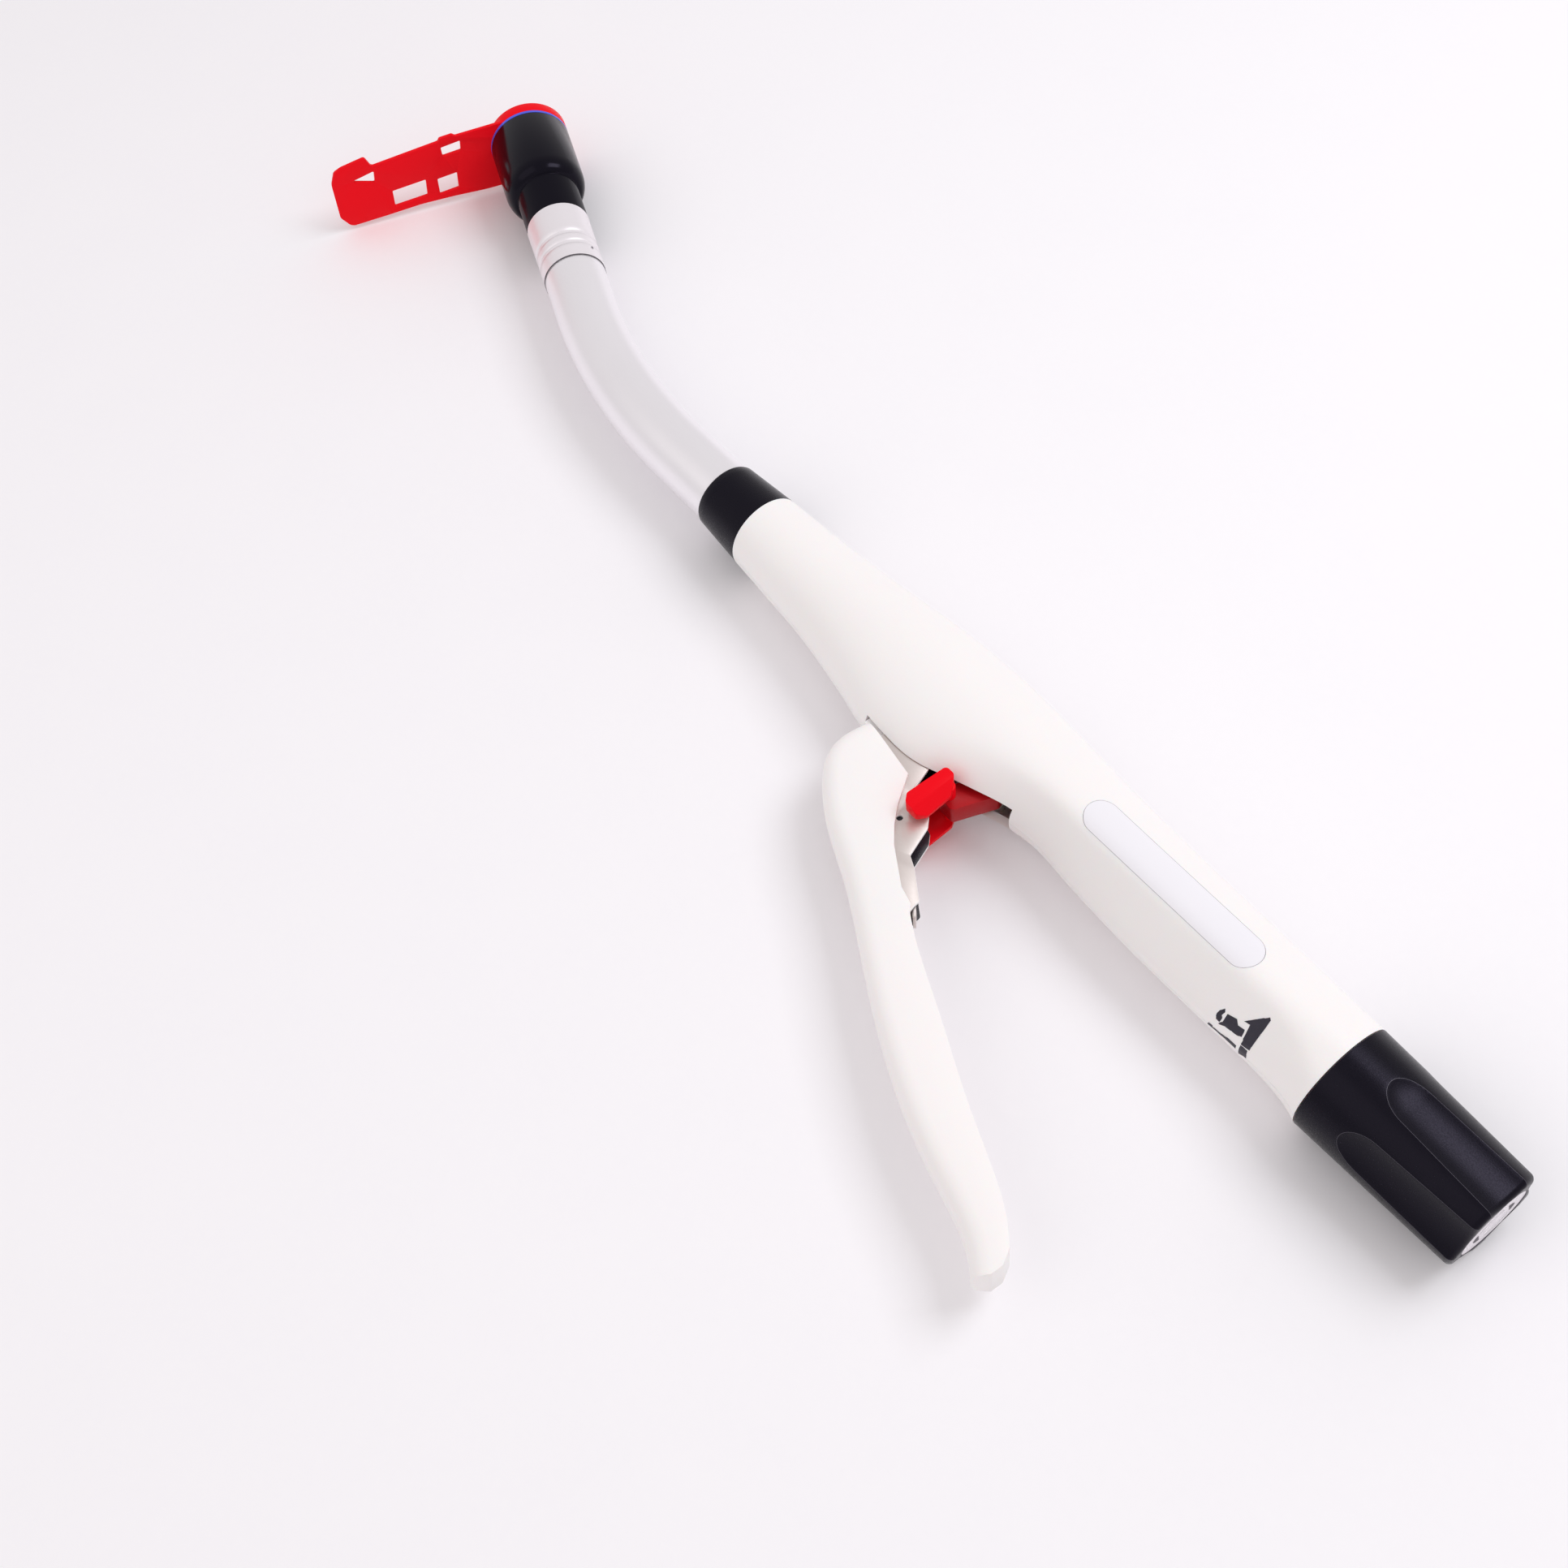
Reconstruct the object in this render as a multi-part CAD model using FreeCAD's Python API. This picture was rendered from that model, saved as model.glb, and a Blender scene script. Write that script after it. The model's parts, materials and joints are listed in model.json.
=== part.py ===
"""Curved circular stapler: a squeeze-handle surgical instrument, built piece by piece.

Millimetres. +X runs along the handle towards the head, +Y towards the trigger, +Z up, out of
the instrument's left side. The origin is the centre of the adjusting knob's flat end.
"""
import FreeCAD, Part
import math
import os

from FreeCAD import Placement, Rotation, Vector

os.makedirs("parts", exist_ok=True)

# Running clearance of a pin or rod in its hole, gap between pieces that pass each other, and
# the seam between two moulded pieces
running_fit = 0.08
passing_gap = 0.3
corner_share = 0.48
seam = 0.1

# Adjusting knob
knob_length = 46.4
knob_front_radius = 15.1
knob_rear_radius = 14.0
knob_edge_round = 1.7
knob_end_thickness = 4.0
knob_cavity_radius = 10.0
knob_mouth_radius = 12.7
knob_mouth_depth = 9.0
groove_count = 5
groove_phase = 25.0
groove_radius = 20.0
groove_tip_behind_rim = 11.0
groove_nose_length = 8.4
groove_depth_middle = 1.7
groove_depth_rear = 2.3
end_cap_radius = 10.4
end_cap_thickness = 1.2
knob_hub_wall = 1.6
knob_hub_length = 22.0

# Nut sleeve, lead screw and the rods in the shaft
nut_sleeve_radius = 6.2
nut_sleeve_rear = 8.0
nut_sleeve_reach = 18.0
nut_flange_radius = 9.4
nut_flange_thickness = 2.4
nut_rib_thickness = 2.4
thrust_washer_thickness = 1.5
screw_radius = 3.6
screw_pitch = 3.0
screw_thread_depth = 0.5
screw_rear = 12.0
screw_length = 92.0
screw_travel = 24.0
screw_flat_half = 2.9
screw_flat_length = 66.0
key_plate_start = 67.0
key_plate_thickness = 3.0
pull_rod_radius = 2.4
push_tube_radius = 3.6
flex_end_gap = 1.2
pull_rod_setback = 2.0

# Handle body, measured backwards from the rear rim of the collar
body_length = 217.6
wall = 2.2
end_wall = 4.0
facet_lean = 42
facet_sharpness = 22
section_points = 36
section_spacing = 7.0
rib_thickness = 1.8
rib_bore = 5.0

# Each station: distance behind the collar, back edge, trigger-side edge, half thickness, and
# how near the two grip facets lie to the middle (1.4 is too far out to show)
body_stations = [
    (0.0, 11.7, 11.7, 11.7, 1.40),
    (16.0, 12.7, 13.0, 12.4, 1.38),
    (29.0, 13.7, 14.0, 13.1, 1.34),
    (42.0, 14.9, 15.8, 13.8, 1.30),
    (55.0, 16.6, 18.2, 14.4, 1.20),
    (68.0, 18.2, 21.0, 14.8, 1.10),
    (78.0, 18.8, 21.8, 15.0, 1.05),
    (88.0, 19.1, 21.4, 15.0, 1.02),
    (96.0, 19.0, 18.5, 15.0, 0.99),
    (105.0, 18.6, 15.3, 14.9, 0.96),
    (115.0, 18.0, 12.1, 14.8, 0.94),
    (125.0, 17.4, 11.0, 14.7, 0.92),
    (138.0, 16.6, 12.2, 14.6, 0.89),
    (160.0, 15.9, 13.4, 14.7, 0.86),
    (185.0, 15.6, 13.4, 14.9, 0.86),
    (203.0, 15.3, 13.0, 15.0, 0.90),
    (211.0, 15.15, 13.3, 15.05, 1.05),
    (217.6, 15.1, 15.1, 15.1, 1.40),
]

# Collar and shaft
collar_length = 18.1
collar_rear_radius = 11.7
collar_front_radius = 10.3
spigot_length = 5.0
spigot_wall = 0.9
tube_radius = 9.6
tube_wall = 1.0
tube_seat_depth = 34.0
shaft_straight = 39.5
bend_radius = 178.5
bend_angle = 22.1
shaft_front_straight = 13.5
ferrule_length = 23.5
ferrule_rear_radius = 9.8
ferrule_front_radius = 10.05
ferrule_ring_depth = 0.35
ferrule_ring_width = 1.5
ferrule_rings = (5.5, 10.0)
spacer_length = 6.0
spacer_places = (0.12, 0.5, 0.88)

# Head
head_neck_length = 14.4
head_neck_radius = 9.95
head_length = 26.6
head_radius = 12.95
head_wall = 1.35
head_step_length = 5.5
head_bore_depth = 23.0
guide_flange = 1.0
guide_depth = 9.0
guide_inner_radius = 8.3
staple_rows = ((9.25, 10), (10.65, 12))
slot_length = 3.3
slot_width = 0.75
staple_wire = 0.3
staple_leg = 3.8
staple_set_back = 0.7
knife_radius = 7.9
knife_wall = 0.35
knife_set_back = 7.0
pusher_base_front = 16.0
pusher_base_thickness = 4.0
pusher_finger_front = 10.8
sleeve_radius = 4.9
sleeve_rear = 43.0
rod_tip_set_back = 3.0
rod_point_length = 7.0
rod_rear = 50.0
head_spigot_length = 10.0

# Transport guard
guard_disc_thickness = 3.6
guard_bar_thickness = 1.1
guard_hub_radius = 5.0
guard_hub_bore = 3.0
guard_hub_length = 6.0
guard_opening_round = 0.4

# The guard bar's outline seen from in front: distance to the trigger side, height
guard_outline = [
    (0.0, 10.9),
    (9.0, 10.8),
    (23.0, 10.4),
    (23.9, 11.3),
    (28.2, 11.0),
    (28.9, 9.9),
    (51.6, 7.4),
    (53.0, 11.4),
    (61.2, 9.8),
    (63.9, 8.6),
    (65.8, 4.2),
    (66.6, -9.2),
    (63.9, -13.7),
    (50.8, -13.1),
    (39.6, -12.4),
    (28.5, -12.7),
    (17.6, -13.4),
    (9.0, -13.4),
    (0.0, -12.9),
]
guard_rounds = [0, 20, 0.8, 0.8, 0.8, 0.8, 1, 1, 2, 2, 4, 2.5, 2.5, 20, 20, 20, 20, 20, 0]
guard_openings = [
    [(59.8, 3.6), (51.4, 5.6), (52.2, 1.0)],
    [(47.6, -4.1), (36.1, -3.1), (37.0, -9.7), (48.2, -10.6)],
    [(32.4, -4.2), (25.6, -3.5), (26.4, -10.0), (32.9, -10.7)],
    [(28.5, 7.6), (21.8, 8.4), (22.5, 4.4), (28.6, 3.9)],
]

# Trigger and its steel frame, placed from the pivot
pivot_behind_collar = 83.0
pivot_height = 12.0
pivot_pin_radius = 2.0
trigger_half_width = 6.4
trigger_wall = 1.35
trigger_back_wall = 3.4
trigger_back_round = 5.0
frame_half_width = 4.95
frame_sheet = 0.9
arm_half = 3.4
body_slot_half_width = 5.3
body_slot_front = 69.3
body_slot_rear = 115.8
pivot_boss_radius = 4.2
pin_reach = 9.0
catch_boss_radius = 3.0
squeeze_angle = 26.0
cross_pin_radius = 1.2
cross_pin_reach = 5.7
blade_half_width = 3.2

# Outlines of the trigger and its frame: distance behind the collar, distance from the axis
trigger_back = [
    (69.6, 22.0),
    (68.8, 27.0),
    (69.3, 32.0),
    (71.8, 36.7),
    (76.2, 41.0),
    (85.0, 46.9),
    (99.1, 53.3),
    (119.5, 64.2),
    (141.2, 75.8),
    (161.5, 84.3),
    (178.5, 89.3),
    (194.3, 94.6),
    (199.4, 98.0),
]
trigger_end = [(202.2, 94.4), (202.4, 91.0), (200.4, 87.2)]
trigger_run_out = 8.0
trigger_inner = [
    (197.0, 84.6),
    (194.6, 83.0),
    (181.0, 76.6),
    (166.6, 70.7),
    (144.9, 60.8),
    (125.4, 51.7),
    (121.5, 49.4),
]
trigger_edge = [
    (119.6, 47.6),
    (114.6, 46.3),
    (104.1, 39.9),
    (99.6, 36.0),
    (95.6, 31.3),
    (90.6, 23.8),
    (76.7, 21.6),
    (71.6, 20.9),
]
trigger_hollow_reach = 40.0
trigger_hollow_front = 75.9
frame_outline = [
    (76.6, 14.0, 4),
    (76.6, 22.0, 0),
    (77.6, 33.0, 8),
    (84.0, 41.0, 10),
    (99.0, 48.0, 20),
    (119.5, 59.0, 1),
    (122.0, 54.0, 1),
    (120.1, 47.0, 0.5),
    (120.0, 45.2, 1),
    (112.2, 40.1, 4),
    (108.5, 38.4, 1),
    (105.5, 30.0, 2),
    (103.2, 27.6, 1),
    (94.6, 25.6, 0.5),
    (92.5, 18.9, 0),
    (90.4, 13.0, 6),
    (86.4, 8.0, 4),
    (86.4, -3.4, 3.3),
    (79.6, -3.4, 3.3),
    (79.6, 8.0, 4),
]
frame_hollow = [
    (70.0, -9.0),
    (70.0, 22.0),
    (78.5, 32.6),
    (84.6, 40.3),
    (99.4, 47.2),
    (119.0, 57.8),
    (126.0, 50.0),
    (126.0, 20.0),
    (95.0, -9.0),
]
cross_pin_place = (101.0, 42.6)
peep_hole_place = (98.5, 33.4)
peep_hole_radius = 0.9
blade_outline = [
    (106.0, 46.4),
    (118.6, 46.3),
    (119.6, 46.0),
    (121.9, 48.2),
    (121.4, 48.7),
    (119.3, 46.9),
    (118.6, 47.2),
    (106.0, 47.3),
]

# Push collar and return spring
push_collar_radius = 7.4
push_collar_thickness = 3.0
push_per_radian = pivot_height
spring_radius = 5.9
spring_wire = 1.2
spring_turns = 7
seat_block_floor = 8.0
seat_block_reach = 6.0
seat_block_radius = 10.8

# Safety catch, placed from its pivot
catch_behind_collar = 105.0
catch_pivot_height = 7.2
catch_pin_radius = 1.6
catch_hub_radius = 3.9
catch_half_width = 3.2
catch_bar_radius = 1.7
catch_bar_forward = 4.0
catch_bar_drop = 11.8
catch_pad_inner = 6.8
catch_pad_outer = 10.9
catch_pad_slope = 3.0
catch_pad_round = 1.2
catch_web_round = 1.5
catch_web = [
    (102.2, 4.5),
    (99.2, 17.0),
    (99.0, 21.4),
    (104.8, 21.5),
    (107.0, 16.0),
    (109.6, 9.7),
    (108.6, 6.0),
]
catch_pad = [
    (97.6, 16.8),
    (96.9, 29.4),
    (98.7, 31.4),
    (102.6, 31.4),
    (104.1, 28.9),
    (103.7, 20.6),
    (100.6, 16.8),
]

# Indicator window
window_front = 131.0
window_length = 58.0
window_width = 9.6
window_offset = -0.9
scale_height = 10.3
scale_overlap = 1.6
lens_thickness = 1.54
scale_thickness = 0.6
scale_width = 10.2
pointer_front = 5.5
pointer_length = 4.5
pointer_width = 6.0
pointer_thickness = 0.5
pointer_leg = 0.7
pointer_per_screw = 1.5

# Housing screws and their bosses
screw_places = ((50.0, -10.6), (76.0, -13.4), (112.0, -12.8), (180.0, -10.6))
boss_radius = 2.8
screw_shank_radius = 1.3
screw_shank_length = 15.0
screw_head_radius = 2.3
screw_recess_radius = 2.5
screw_recess_wall = 1.1
screw_cross = (1.5, 0.3)
screw_cross_depth = 0.8
screw_head_height = 1.6
screw_seat_height = -7.0

# Places worked out from the sizes above
x_rim = knob_length
x_collar = knob_length + body_length
x_shaft = x_collar + shaft_straight
bend = math.radians(bend_angle)
head_forward = Vector(math.cos(bend), -math.sin(bend), 0)
head_side = Vector(math.sin(bend), math.cos(bend), 0)
up = Vector(0, 0, 1)
bend_end = Vector(x_shaft + bend_radius * math.sin(bend), -bend_radius * (1 - math.cos(bend)), 0)
ferrule_start = bend_end + head_forward * shaft_front_straight
neck_start = ferrule_start + head_forward * ferrule_length
casing_start = neck_start + head_forward * head_neck_length
head_front = casing_start + head_forward * head_length
pivot = Vector(x_collar - pivot_behind_collar, pivot_height, 0)
catch_pivot = Vector(x_collar - catch_behind_collar, catch_pivot_height, 0)
push_stroke = push_per_radian * math.radians(squeeze_angle)
push_tube_setback = 19.8


def save(shape, node):
    """Write one named piece."""
    shape.exportStep("parts/" + node + ".step")
    print(node, len(shape.Solids), round(shape.Volume, 1))


def behind(distance, y=0.0, z=0.0):
    """A point given by its distance behind the collar's rear rim."""
    return Vector(x_collar - distance, y, z)


def cylinder(radius, start, end):
    """A round bar between two points."""
    along = end - start
    return Part.makeCylinder(radius, along.Length, start, along)


def tube(radius, bore, start, end):
    """A round tube between two points, its bore cut through with room to spare."""
    along = (end - start).normalize()
    return cylinder(radius, start, end).cut(cylinder(bore, start - along, end + along))


def turned(profile, start, direction):
    """A solid of revolution from (distance along the axis, radius) points."""
    points = [Vector(radius, 0, along) for along, radius in profile]
    face = Part.Face(Part.makePolygon(points + points[:1]))
    solid = face.revolve(Vector(), Vector(0, 0, 1), 360)
    solid.Placement = Placement(start, Rotation(Vector(0, 0, 1), direction))
    return solid


def on_head(along, side=0.0, z=0.0):
    """A point by its distance behind the head's front rim, its side offset and its height."""
    return head_front - head_forward * along + head_side * side + up * z


def spline_wire(points):
    """One smooth closed curve through points."""
    curve = Part.BSplineCurve()
    curve.interpolate(Points=points, PeriodicFlag=True, Parameters=list(range(len(points) + 1)))
    return Part.Wire([curve.toShape()])


def flat_wire(points, rounds=None):
    """A closed outline of straight edges whose corners are rounded by the given radii."""
    count = len(points)
    edges = []
    last = None
    first = None
    for i, corner in enumerate(points):
        before = points[i - 1]
        after = points[(i + 1) % count]
        radius = rounds[i] if rounds else 0
        if radius <= 0:
            start = end = corner
        else:
            to_before = (before - corner).normalize()
            to_after = (after - corner).normalize()
            half = to_before.getAngle(to_after) / 2
            reach = radius / math.tan(half)
            longest = corner_share * min((before - corner).Length, (after - corner).Length)
            reach = min(reach, longest)
            start = corner + to_before * reach
            end = corner + to_after * reach
            middle = corner + (to_before + to_after).normalize() * (
                reach / math.cos(half) - reach * math.tan(half)
            )
        if last is not None:
            edges.append(Part.LineSegment(last, start).toShape())
        else:
            first = start
        if radius > 0:
            edges.append(Part.Arc(start, middle, end).toShape())
        last = end
    edges.append(Part.LineSegment(last, first).toShape())
    return Part.Wire(edges)


def slab(points, low, high, rounds=None):
    """A flat plate of the given outline, in the X-Y plane, between two heights."""
    lifted = [Vector(p.x, p.y, low) for p in points]
    return Part.Face(flat_wire(lifted, rounds)).extrude(Vector(0, 0, high - low))


def stadium(x_low, x_high, y, width, low, high):
    """An upright prism with a long round-ended outline along X."""
    r = width / 2
    block = Part.makeBox(x_high - x_low - width, width, high - low, Vector(x_low + r, y - r, low))
    for x in (x_low + r, x_high - r):
        block = block.fuse(Part.makeCylinder(r, high - low, Vector(x, y, low)))
    return block.removeSplitter()


def half_space(side):
    """A big block on one side of the symmetry plane."""
    size = 4 * body_length
    low = 0 if side > 0 else -size
    return Part.makeBox(size, size, size, Vector(-size / 2, -size / 2, low))


def curve_value(stations, column, place):
    """Read a column of the stations at a place, on a smooth curve through them."""
    for i in range(len(stations) - 1):
        if place <= stations[i + 1][0]:
            break
    a, b = stations[i], stations[i + 1]
    before = stations[max(i - 1, 0)]
    after = stations[min(i + 2, len(stations) - 1)]
    span = b[0] - a[0]
    t = (place - a[0]) / span
    slope_a = (b[column] - before[column]) / (b[0] - before[0]) * span
    slope_b = (after[column] - a[column]) / (after[0] - a[0]) * span
    return (
        (2 * t**3 - 3 * t**2 + 1) * a[column]
        + (t**3 - 2 * t**2 + t) * slope_a
        + (3 * t**2 - 2 * t**3) * b[column]
        + (t**3 - t**2) * slope_b
    )


def body_section(place, inset):
    """The body's closed outline at a distance behind the collar, moved in by a wall."""
    scaled = place * body_stations[-1][0] / body_length
    back, front, half, facet = (curve_value(body_stations, k, scaled) for k in (1, 2, 3, 4))
    points = []
    for i in range(section_points):
        angle = 2 * math.pi * i / section_points
        c, s = math.cos(angle), math.sin(angle)
        width = front if c > 0 else back
        oval = 1 / math.hypot(c / width, s / half)
        lean = math.radians(facet_lean)
        towards = c * math.cos(lean) / width + abs(s) * math.sin(lean) / half
        reach = oval
        if towards > 0:
            flat = facet / towards
            reach = (oval**-facet_sharpness + flat**-facet_sharpness) ** (-1 / facet_sharpness)
        reach -= inset
        points.append(behind(place, reach * c, reach * s))
    return spline_wire(points)


def body_form(start, end, inset):
    """The body's smooth solid between two distances behind the collar."""
    count = max(2, round((end - start) / section_spacing))
    places = [start + (end - start) * i / count for i in range(count + 1)]
    return Part.makeLoft([body_section(p, inset) for p in places], True, False)


def shaft_wire(start, end):
    """The shaft's centre line between two distances in front of the collar."""
    arc_end = shaft_straight + bend_radius * bend

    def place(along):
        if along < shaft_straight:
            return Vector(x_collar + along, 0, 0)
        if along <= arc_end:
            turn = (along - shaft_straight) / bend_radius
            return Vector(
                x_shaft + bend_radius * math.sin(turn), -bend_radius * (1 - math.cos(turn)), 0
            )
        return bend_end + head_forward * (along - arc_end)

    edges = []
    if start < shaft_straight:
        edges.append(Part.LineSegment(place(start), place(min(end, shaft_straight))).toShape())
    low, high = max(start, shaft_straight), min(end, arc_end)
    if high > low:
        arc = Part.Arc(place(low), place((low + high) / 2), place(high))
        edges.append(arc.toShape())
    if end > arc_end:
        edges.append(Part.LineSegment(place(max(start, arc_end)), place(end)).toShape())
    return Part.Wire(edges), place(start), place


def shaft_pipe(start, end, radius, bore):
    """A tube that follows the shaft's centre line."""
    wire, origin, place = shaft_wire(start, end)
    ahead = (place(start + 0.01) - origin).normalize()

    def swept(r):
        ring = Part.Wire(Part.makeCircle(r, origin, ahead))
        return wire.makePipeShell([ring], True, True)

    solid = swept(radius)
    return solid.cut(swept(bore)) if bore > 0 else solid


def ring_stock(start, end, bore):
    """A wide ring across the handle between two places on X, with a round hole."""
    return tube(2 * knob_front_radius, bore, Vector(start, 0, 0), Vector(end, 0, 0))


def box(x_low, x_high, y_low, y_high, z_low, z_high):
    return Part.makeBox(
        x_high - x_low, y_high - y_low, z_high - z_low, Vector(x_low, y_low, z_low)
    )


def mirrored(shape):
    """The shape's twin on the other side of the symmetry plane."""
    return shape.mirror(Vector(), up)


# Places inside the handle
tube_rear = x_collar - tube_seat_depth
seat_rear = tube_rear - seat_block_floor
seat_front = tube_rear + seat_block_reach
washer_start = x_rim + end_wall + seam
flange_start = washer_start + thrust_washer_thickness + running_fit
nut_rib_start = flange_start + nut_flange_thickness + running_fit
key_plate_end = key_plate_start + key_plate_thickness
push_collar_rear = pivot.x + arm_half + passing_gap
window_low = x_collar - window_front - window_length
window_high = x_collar - window_front
scale_low = window_low - scale_overlap
scale_high = window_high + scale_overlap


def housing_blank():
    """Both shells in one: the outer form, the hollow, and the ribs and bosses left standing."""
    hollow = body_form(end_wall, body_length - end_wall, wall)
    ribs = [
        (nut_rib_start, nut_rib_start + nut_rib_thickness, nut_sleeve_radius + passing_gap),
        (key_plate_start - seam - rib_thickness, key_plate_start - seam, rib_bore),
        (key_plate_end + seam, scale_low + rib_thickness, rib_bore),
        (scale_high - rib_thickness, scale_high + rib_thickness, nut_sleeve_radius),
        (seat_rear - seam - rib_thickness, seat_rear - seam, push_collar_radius),
        (seat_front + seam, seat_front + seam + rib_thickness, tube_radius + seam),
    ]
    for start, end, bore in ribs:
        hollow = hollow.cut(ring_stock(start, end, bore))
    tall = 2 * knob_front_radius
    for centre, radius, inner in (
        (pivot, pivot_boss_radius, frame_half_width + passing_gap),
        (catch_pivot, catch_boss_radius, catch_half_width + passing_gap),
    ):
        boss = cylinder(radius, centre + up * inner, centre + up * tall)
        hollow = hollow.cut(boss).cut(mirrored(boss))
    for place, side in screw_places:
        foot = behind(place, side)
        hollow = hollow.cut(cylinder(boss_radius, foot - up * tall, foot + up * tall))
        wide = screw_recess_radius + screw_recess_wall
        low = foot - up * tall
        hollow = hollow.cut(cylinder(wide, low, foot + up * (screw_seat_height + wall)))
    blank = body_form(0, body_length, 0).cut(hollow)
    tube_hole = cylinder(tube_radius + seam, behind(tube_seat_depth), behind(-end_wall))
    blank = blank.cut(tube_hole)
    spigot = tube(
        tube_radius + seam + spigot_wall, tube_radius + seam, behind(0), behind(-spigot_length)
    )
    blank = blank.fuse(spigot)
    nut_hole = nut_sleeve_radius + running_fit
    blank = blank.cut(cylinder(nut_hole, Vector(x_rim - wall, 0, 0), Vector(flange_start, 0, 0)))
    blank = blank.cut(
        box(
            x_collar - body_slot_rear,
            x_collar - body_slot_front,
            catch_pivot_height - catch_hub_radius,
            4 * wall + body_length / 4,
            -body_slot_half_width,
            body_slot_half_width,
        )
    )
    for centre, radius in ((pivot, pivot_pin_radius), (catch_pivot, catch_pin_radius)):
        blank = blank.cut(
            cylinder(radius + running_fit / 2, centre - up * pin_reach, centre + up * pin_reach)
        )
    for place, side in screw_places:
        foot = behind(place, side)
        seat = foot + up * screw_seat_height
        shank = cylinder(
            screw_shank_radius + running_fit, seat - up, seat + up * (screw_shank_length + seam)
        )
        head = cylinder(screw_recess_radius, seat - up * tall, seat)
        blank = blank.cut(shank).cut(head)
    scale_slot = box(
        scale_low - seam,
        scale_high + seam,
        window_offset - scale_width / 2 - seam,
        window_offset + scale_width / 2 + seam,
        scale_height - seam,
        scale_height + scale_thickness + seam,
    )
    return blank.cut(scale_slot)


def housing_half(blank, side):
    """One shell of the handle, half a seam away from the symmetry plane."""
    keep = half_space(side)
    keep.translate(up * (side * seam / 2))
    half = blank.common(keep)
    if side > 0:
        opening = stadium(
            window_low, window_high, window_offset, window_width, wall * 3, 2 * knob_front_radius
        )
        half = half.cut(opening)
    return half


def window_lens():
    """The clear window, following the body's outer face."""
    prism = stadium(
        window_low + seam,
        window_high - seam,
        window_offset,
        window_width - 2 * seam,
        wall * 3,
        2 * knob_front_radius,
    )
    low, high = window_front - wall, window_front + window_length + wall
    lens = body_form(low, high, 0).common(prism)
    return lens.cut(body_form(low, high, lens_thickness))


def scale_plate():
    half = scale_width / 2
    plate = box(
        scale_low,
        scale_high,
        window_offset - half,
        window_offset + half,
        scale_height,
        scale_height + scale_thickness,
    )
    leg_y = window_offset - half + scale_thickness
    travel = pointer_per_screw * screw_travel
    front = window_high - pointer_front
    slot = box(
        front - pointer_length - travel - seam,
        front + seam,
        leg_y - seam,
        leg_y + pointer_leg + seam,
        scale_height - 1,
        scale_height + 2,
    )
    return plate.cut(slot)


def pointer():
    """The moving mark behind the window, with a leg through the scale plate's long slot."""
    front = window_high - pointer_front
    low = scale_height + scale_thickness + passing_gap
    leg_y = window_offset - scale_width / 2 + scale_thickness
    flag = box(
        front - pointer_length,
        front,
        leg_y,
        leg_y + pointer_width + pointer_leg,
        low,
        low + pointer_thickness,
    )
    leg = box(front - pointer_length, front, leg_y, leg_y + pointer_leg, rib_bore, low)
    return flag.fuse(leg).removeSplitter()


def knob():
    """The adjusting knob: a tapered cup, scooped by long finger grooves."""
    rim = x_rim - passing_gap
    body = turned(
        [
            (0, 0),
            (0, knob_rear_radius),
            (rim, knob_front_radius),
            (rim, knob_mouth_radius),
            (rim - knob_mouth_depth, knob_mouth_radius),
            (rim - knob_mouth_depth - 2, knob_cavity_radius),
            (knob_end_thickness, knob_cavity_radius),
            (knob_end_thickness, 0),
        ],
        Vector(),
        Vector(1, 0, 0),
    )
    body.rotate(Vector(), Vector(1, 0, 0), groove_phase + 180 / groove_count + 90)
    slope = (knob_front_radius - knob_rear_radius) / rim
    nose = rim - groove_tip_behind_rim - groove_nose_length
    near = knob_rear_radius + slope * nose + groove_radius - groove_depth_middle
    far = knob_rear_radius + groove_radius - groove_depth_rear
    for i in range(groove_count):
        angle = math.radians(groove_phase + 360 * i / groove_count)
        out = Vector(0, math.cos(angle), math.sin(angle))
        start = Vector(nose, 0, 0) + out * near
        end = out * far
        body = body.cut(cylinder(groove_radius, start, end + (end - start)))
        body = body.cut(Part.makeSphere(groove_radius, start))
    rear = [e for e in body.Edges if abs(e.BoundBox.XMax) < 0.01 and e.BoundBox.YLength > 0.5]
    rear = [e for e in rear if min(v.Point.Length for v in e.Vertexes) > knob_cavity_radius]
    body = body.makeFillet(knob_edge_round, rear)
    hub = tube(
        nut_sleeve_radius + knob_hub_wall,
        nut_sleeve_radius,
        Vector(knob_end_thickness - 1, 0, 0),
        Vector(knob_end_thickness + knob_hub_length, 0, 0),
    )
    socket = cylinder(nut_sleeve_radius, Vector(nut_sleeve_rear, 0, 0), Vector(x_rim, 0, 0))
    cap = cylinder(end_cap_radius + seam, Vector(-1, 0, 0), Vector(end_cap_thickness, 0, 0))
    return body.fuse(hub).cut(socket).cut(cap)


def nut_sleeve():
    """The nut that the knob turns: a long sleeve held in the housing by its flange."""
    end = x_rim + nut_sleeve_reach
    sleeve = tube(
        nut_sleeve_radius - running_fit / 2,
        screw_radius + running_fit,
        Vector(nut_sleeve_rear, 0, 0),
        Vector(end, 0, 0),
    )
    flange = tube(
        nut_flange_radius,
        screw_radius + running_fit,
        Vector(flange_start, 0, 0),
        Vector(flange_start + nut_flange_thickness, 0, 0),
    )
    return sleeve.fuse(flange)


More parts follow.
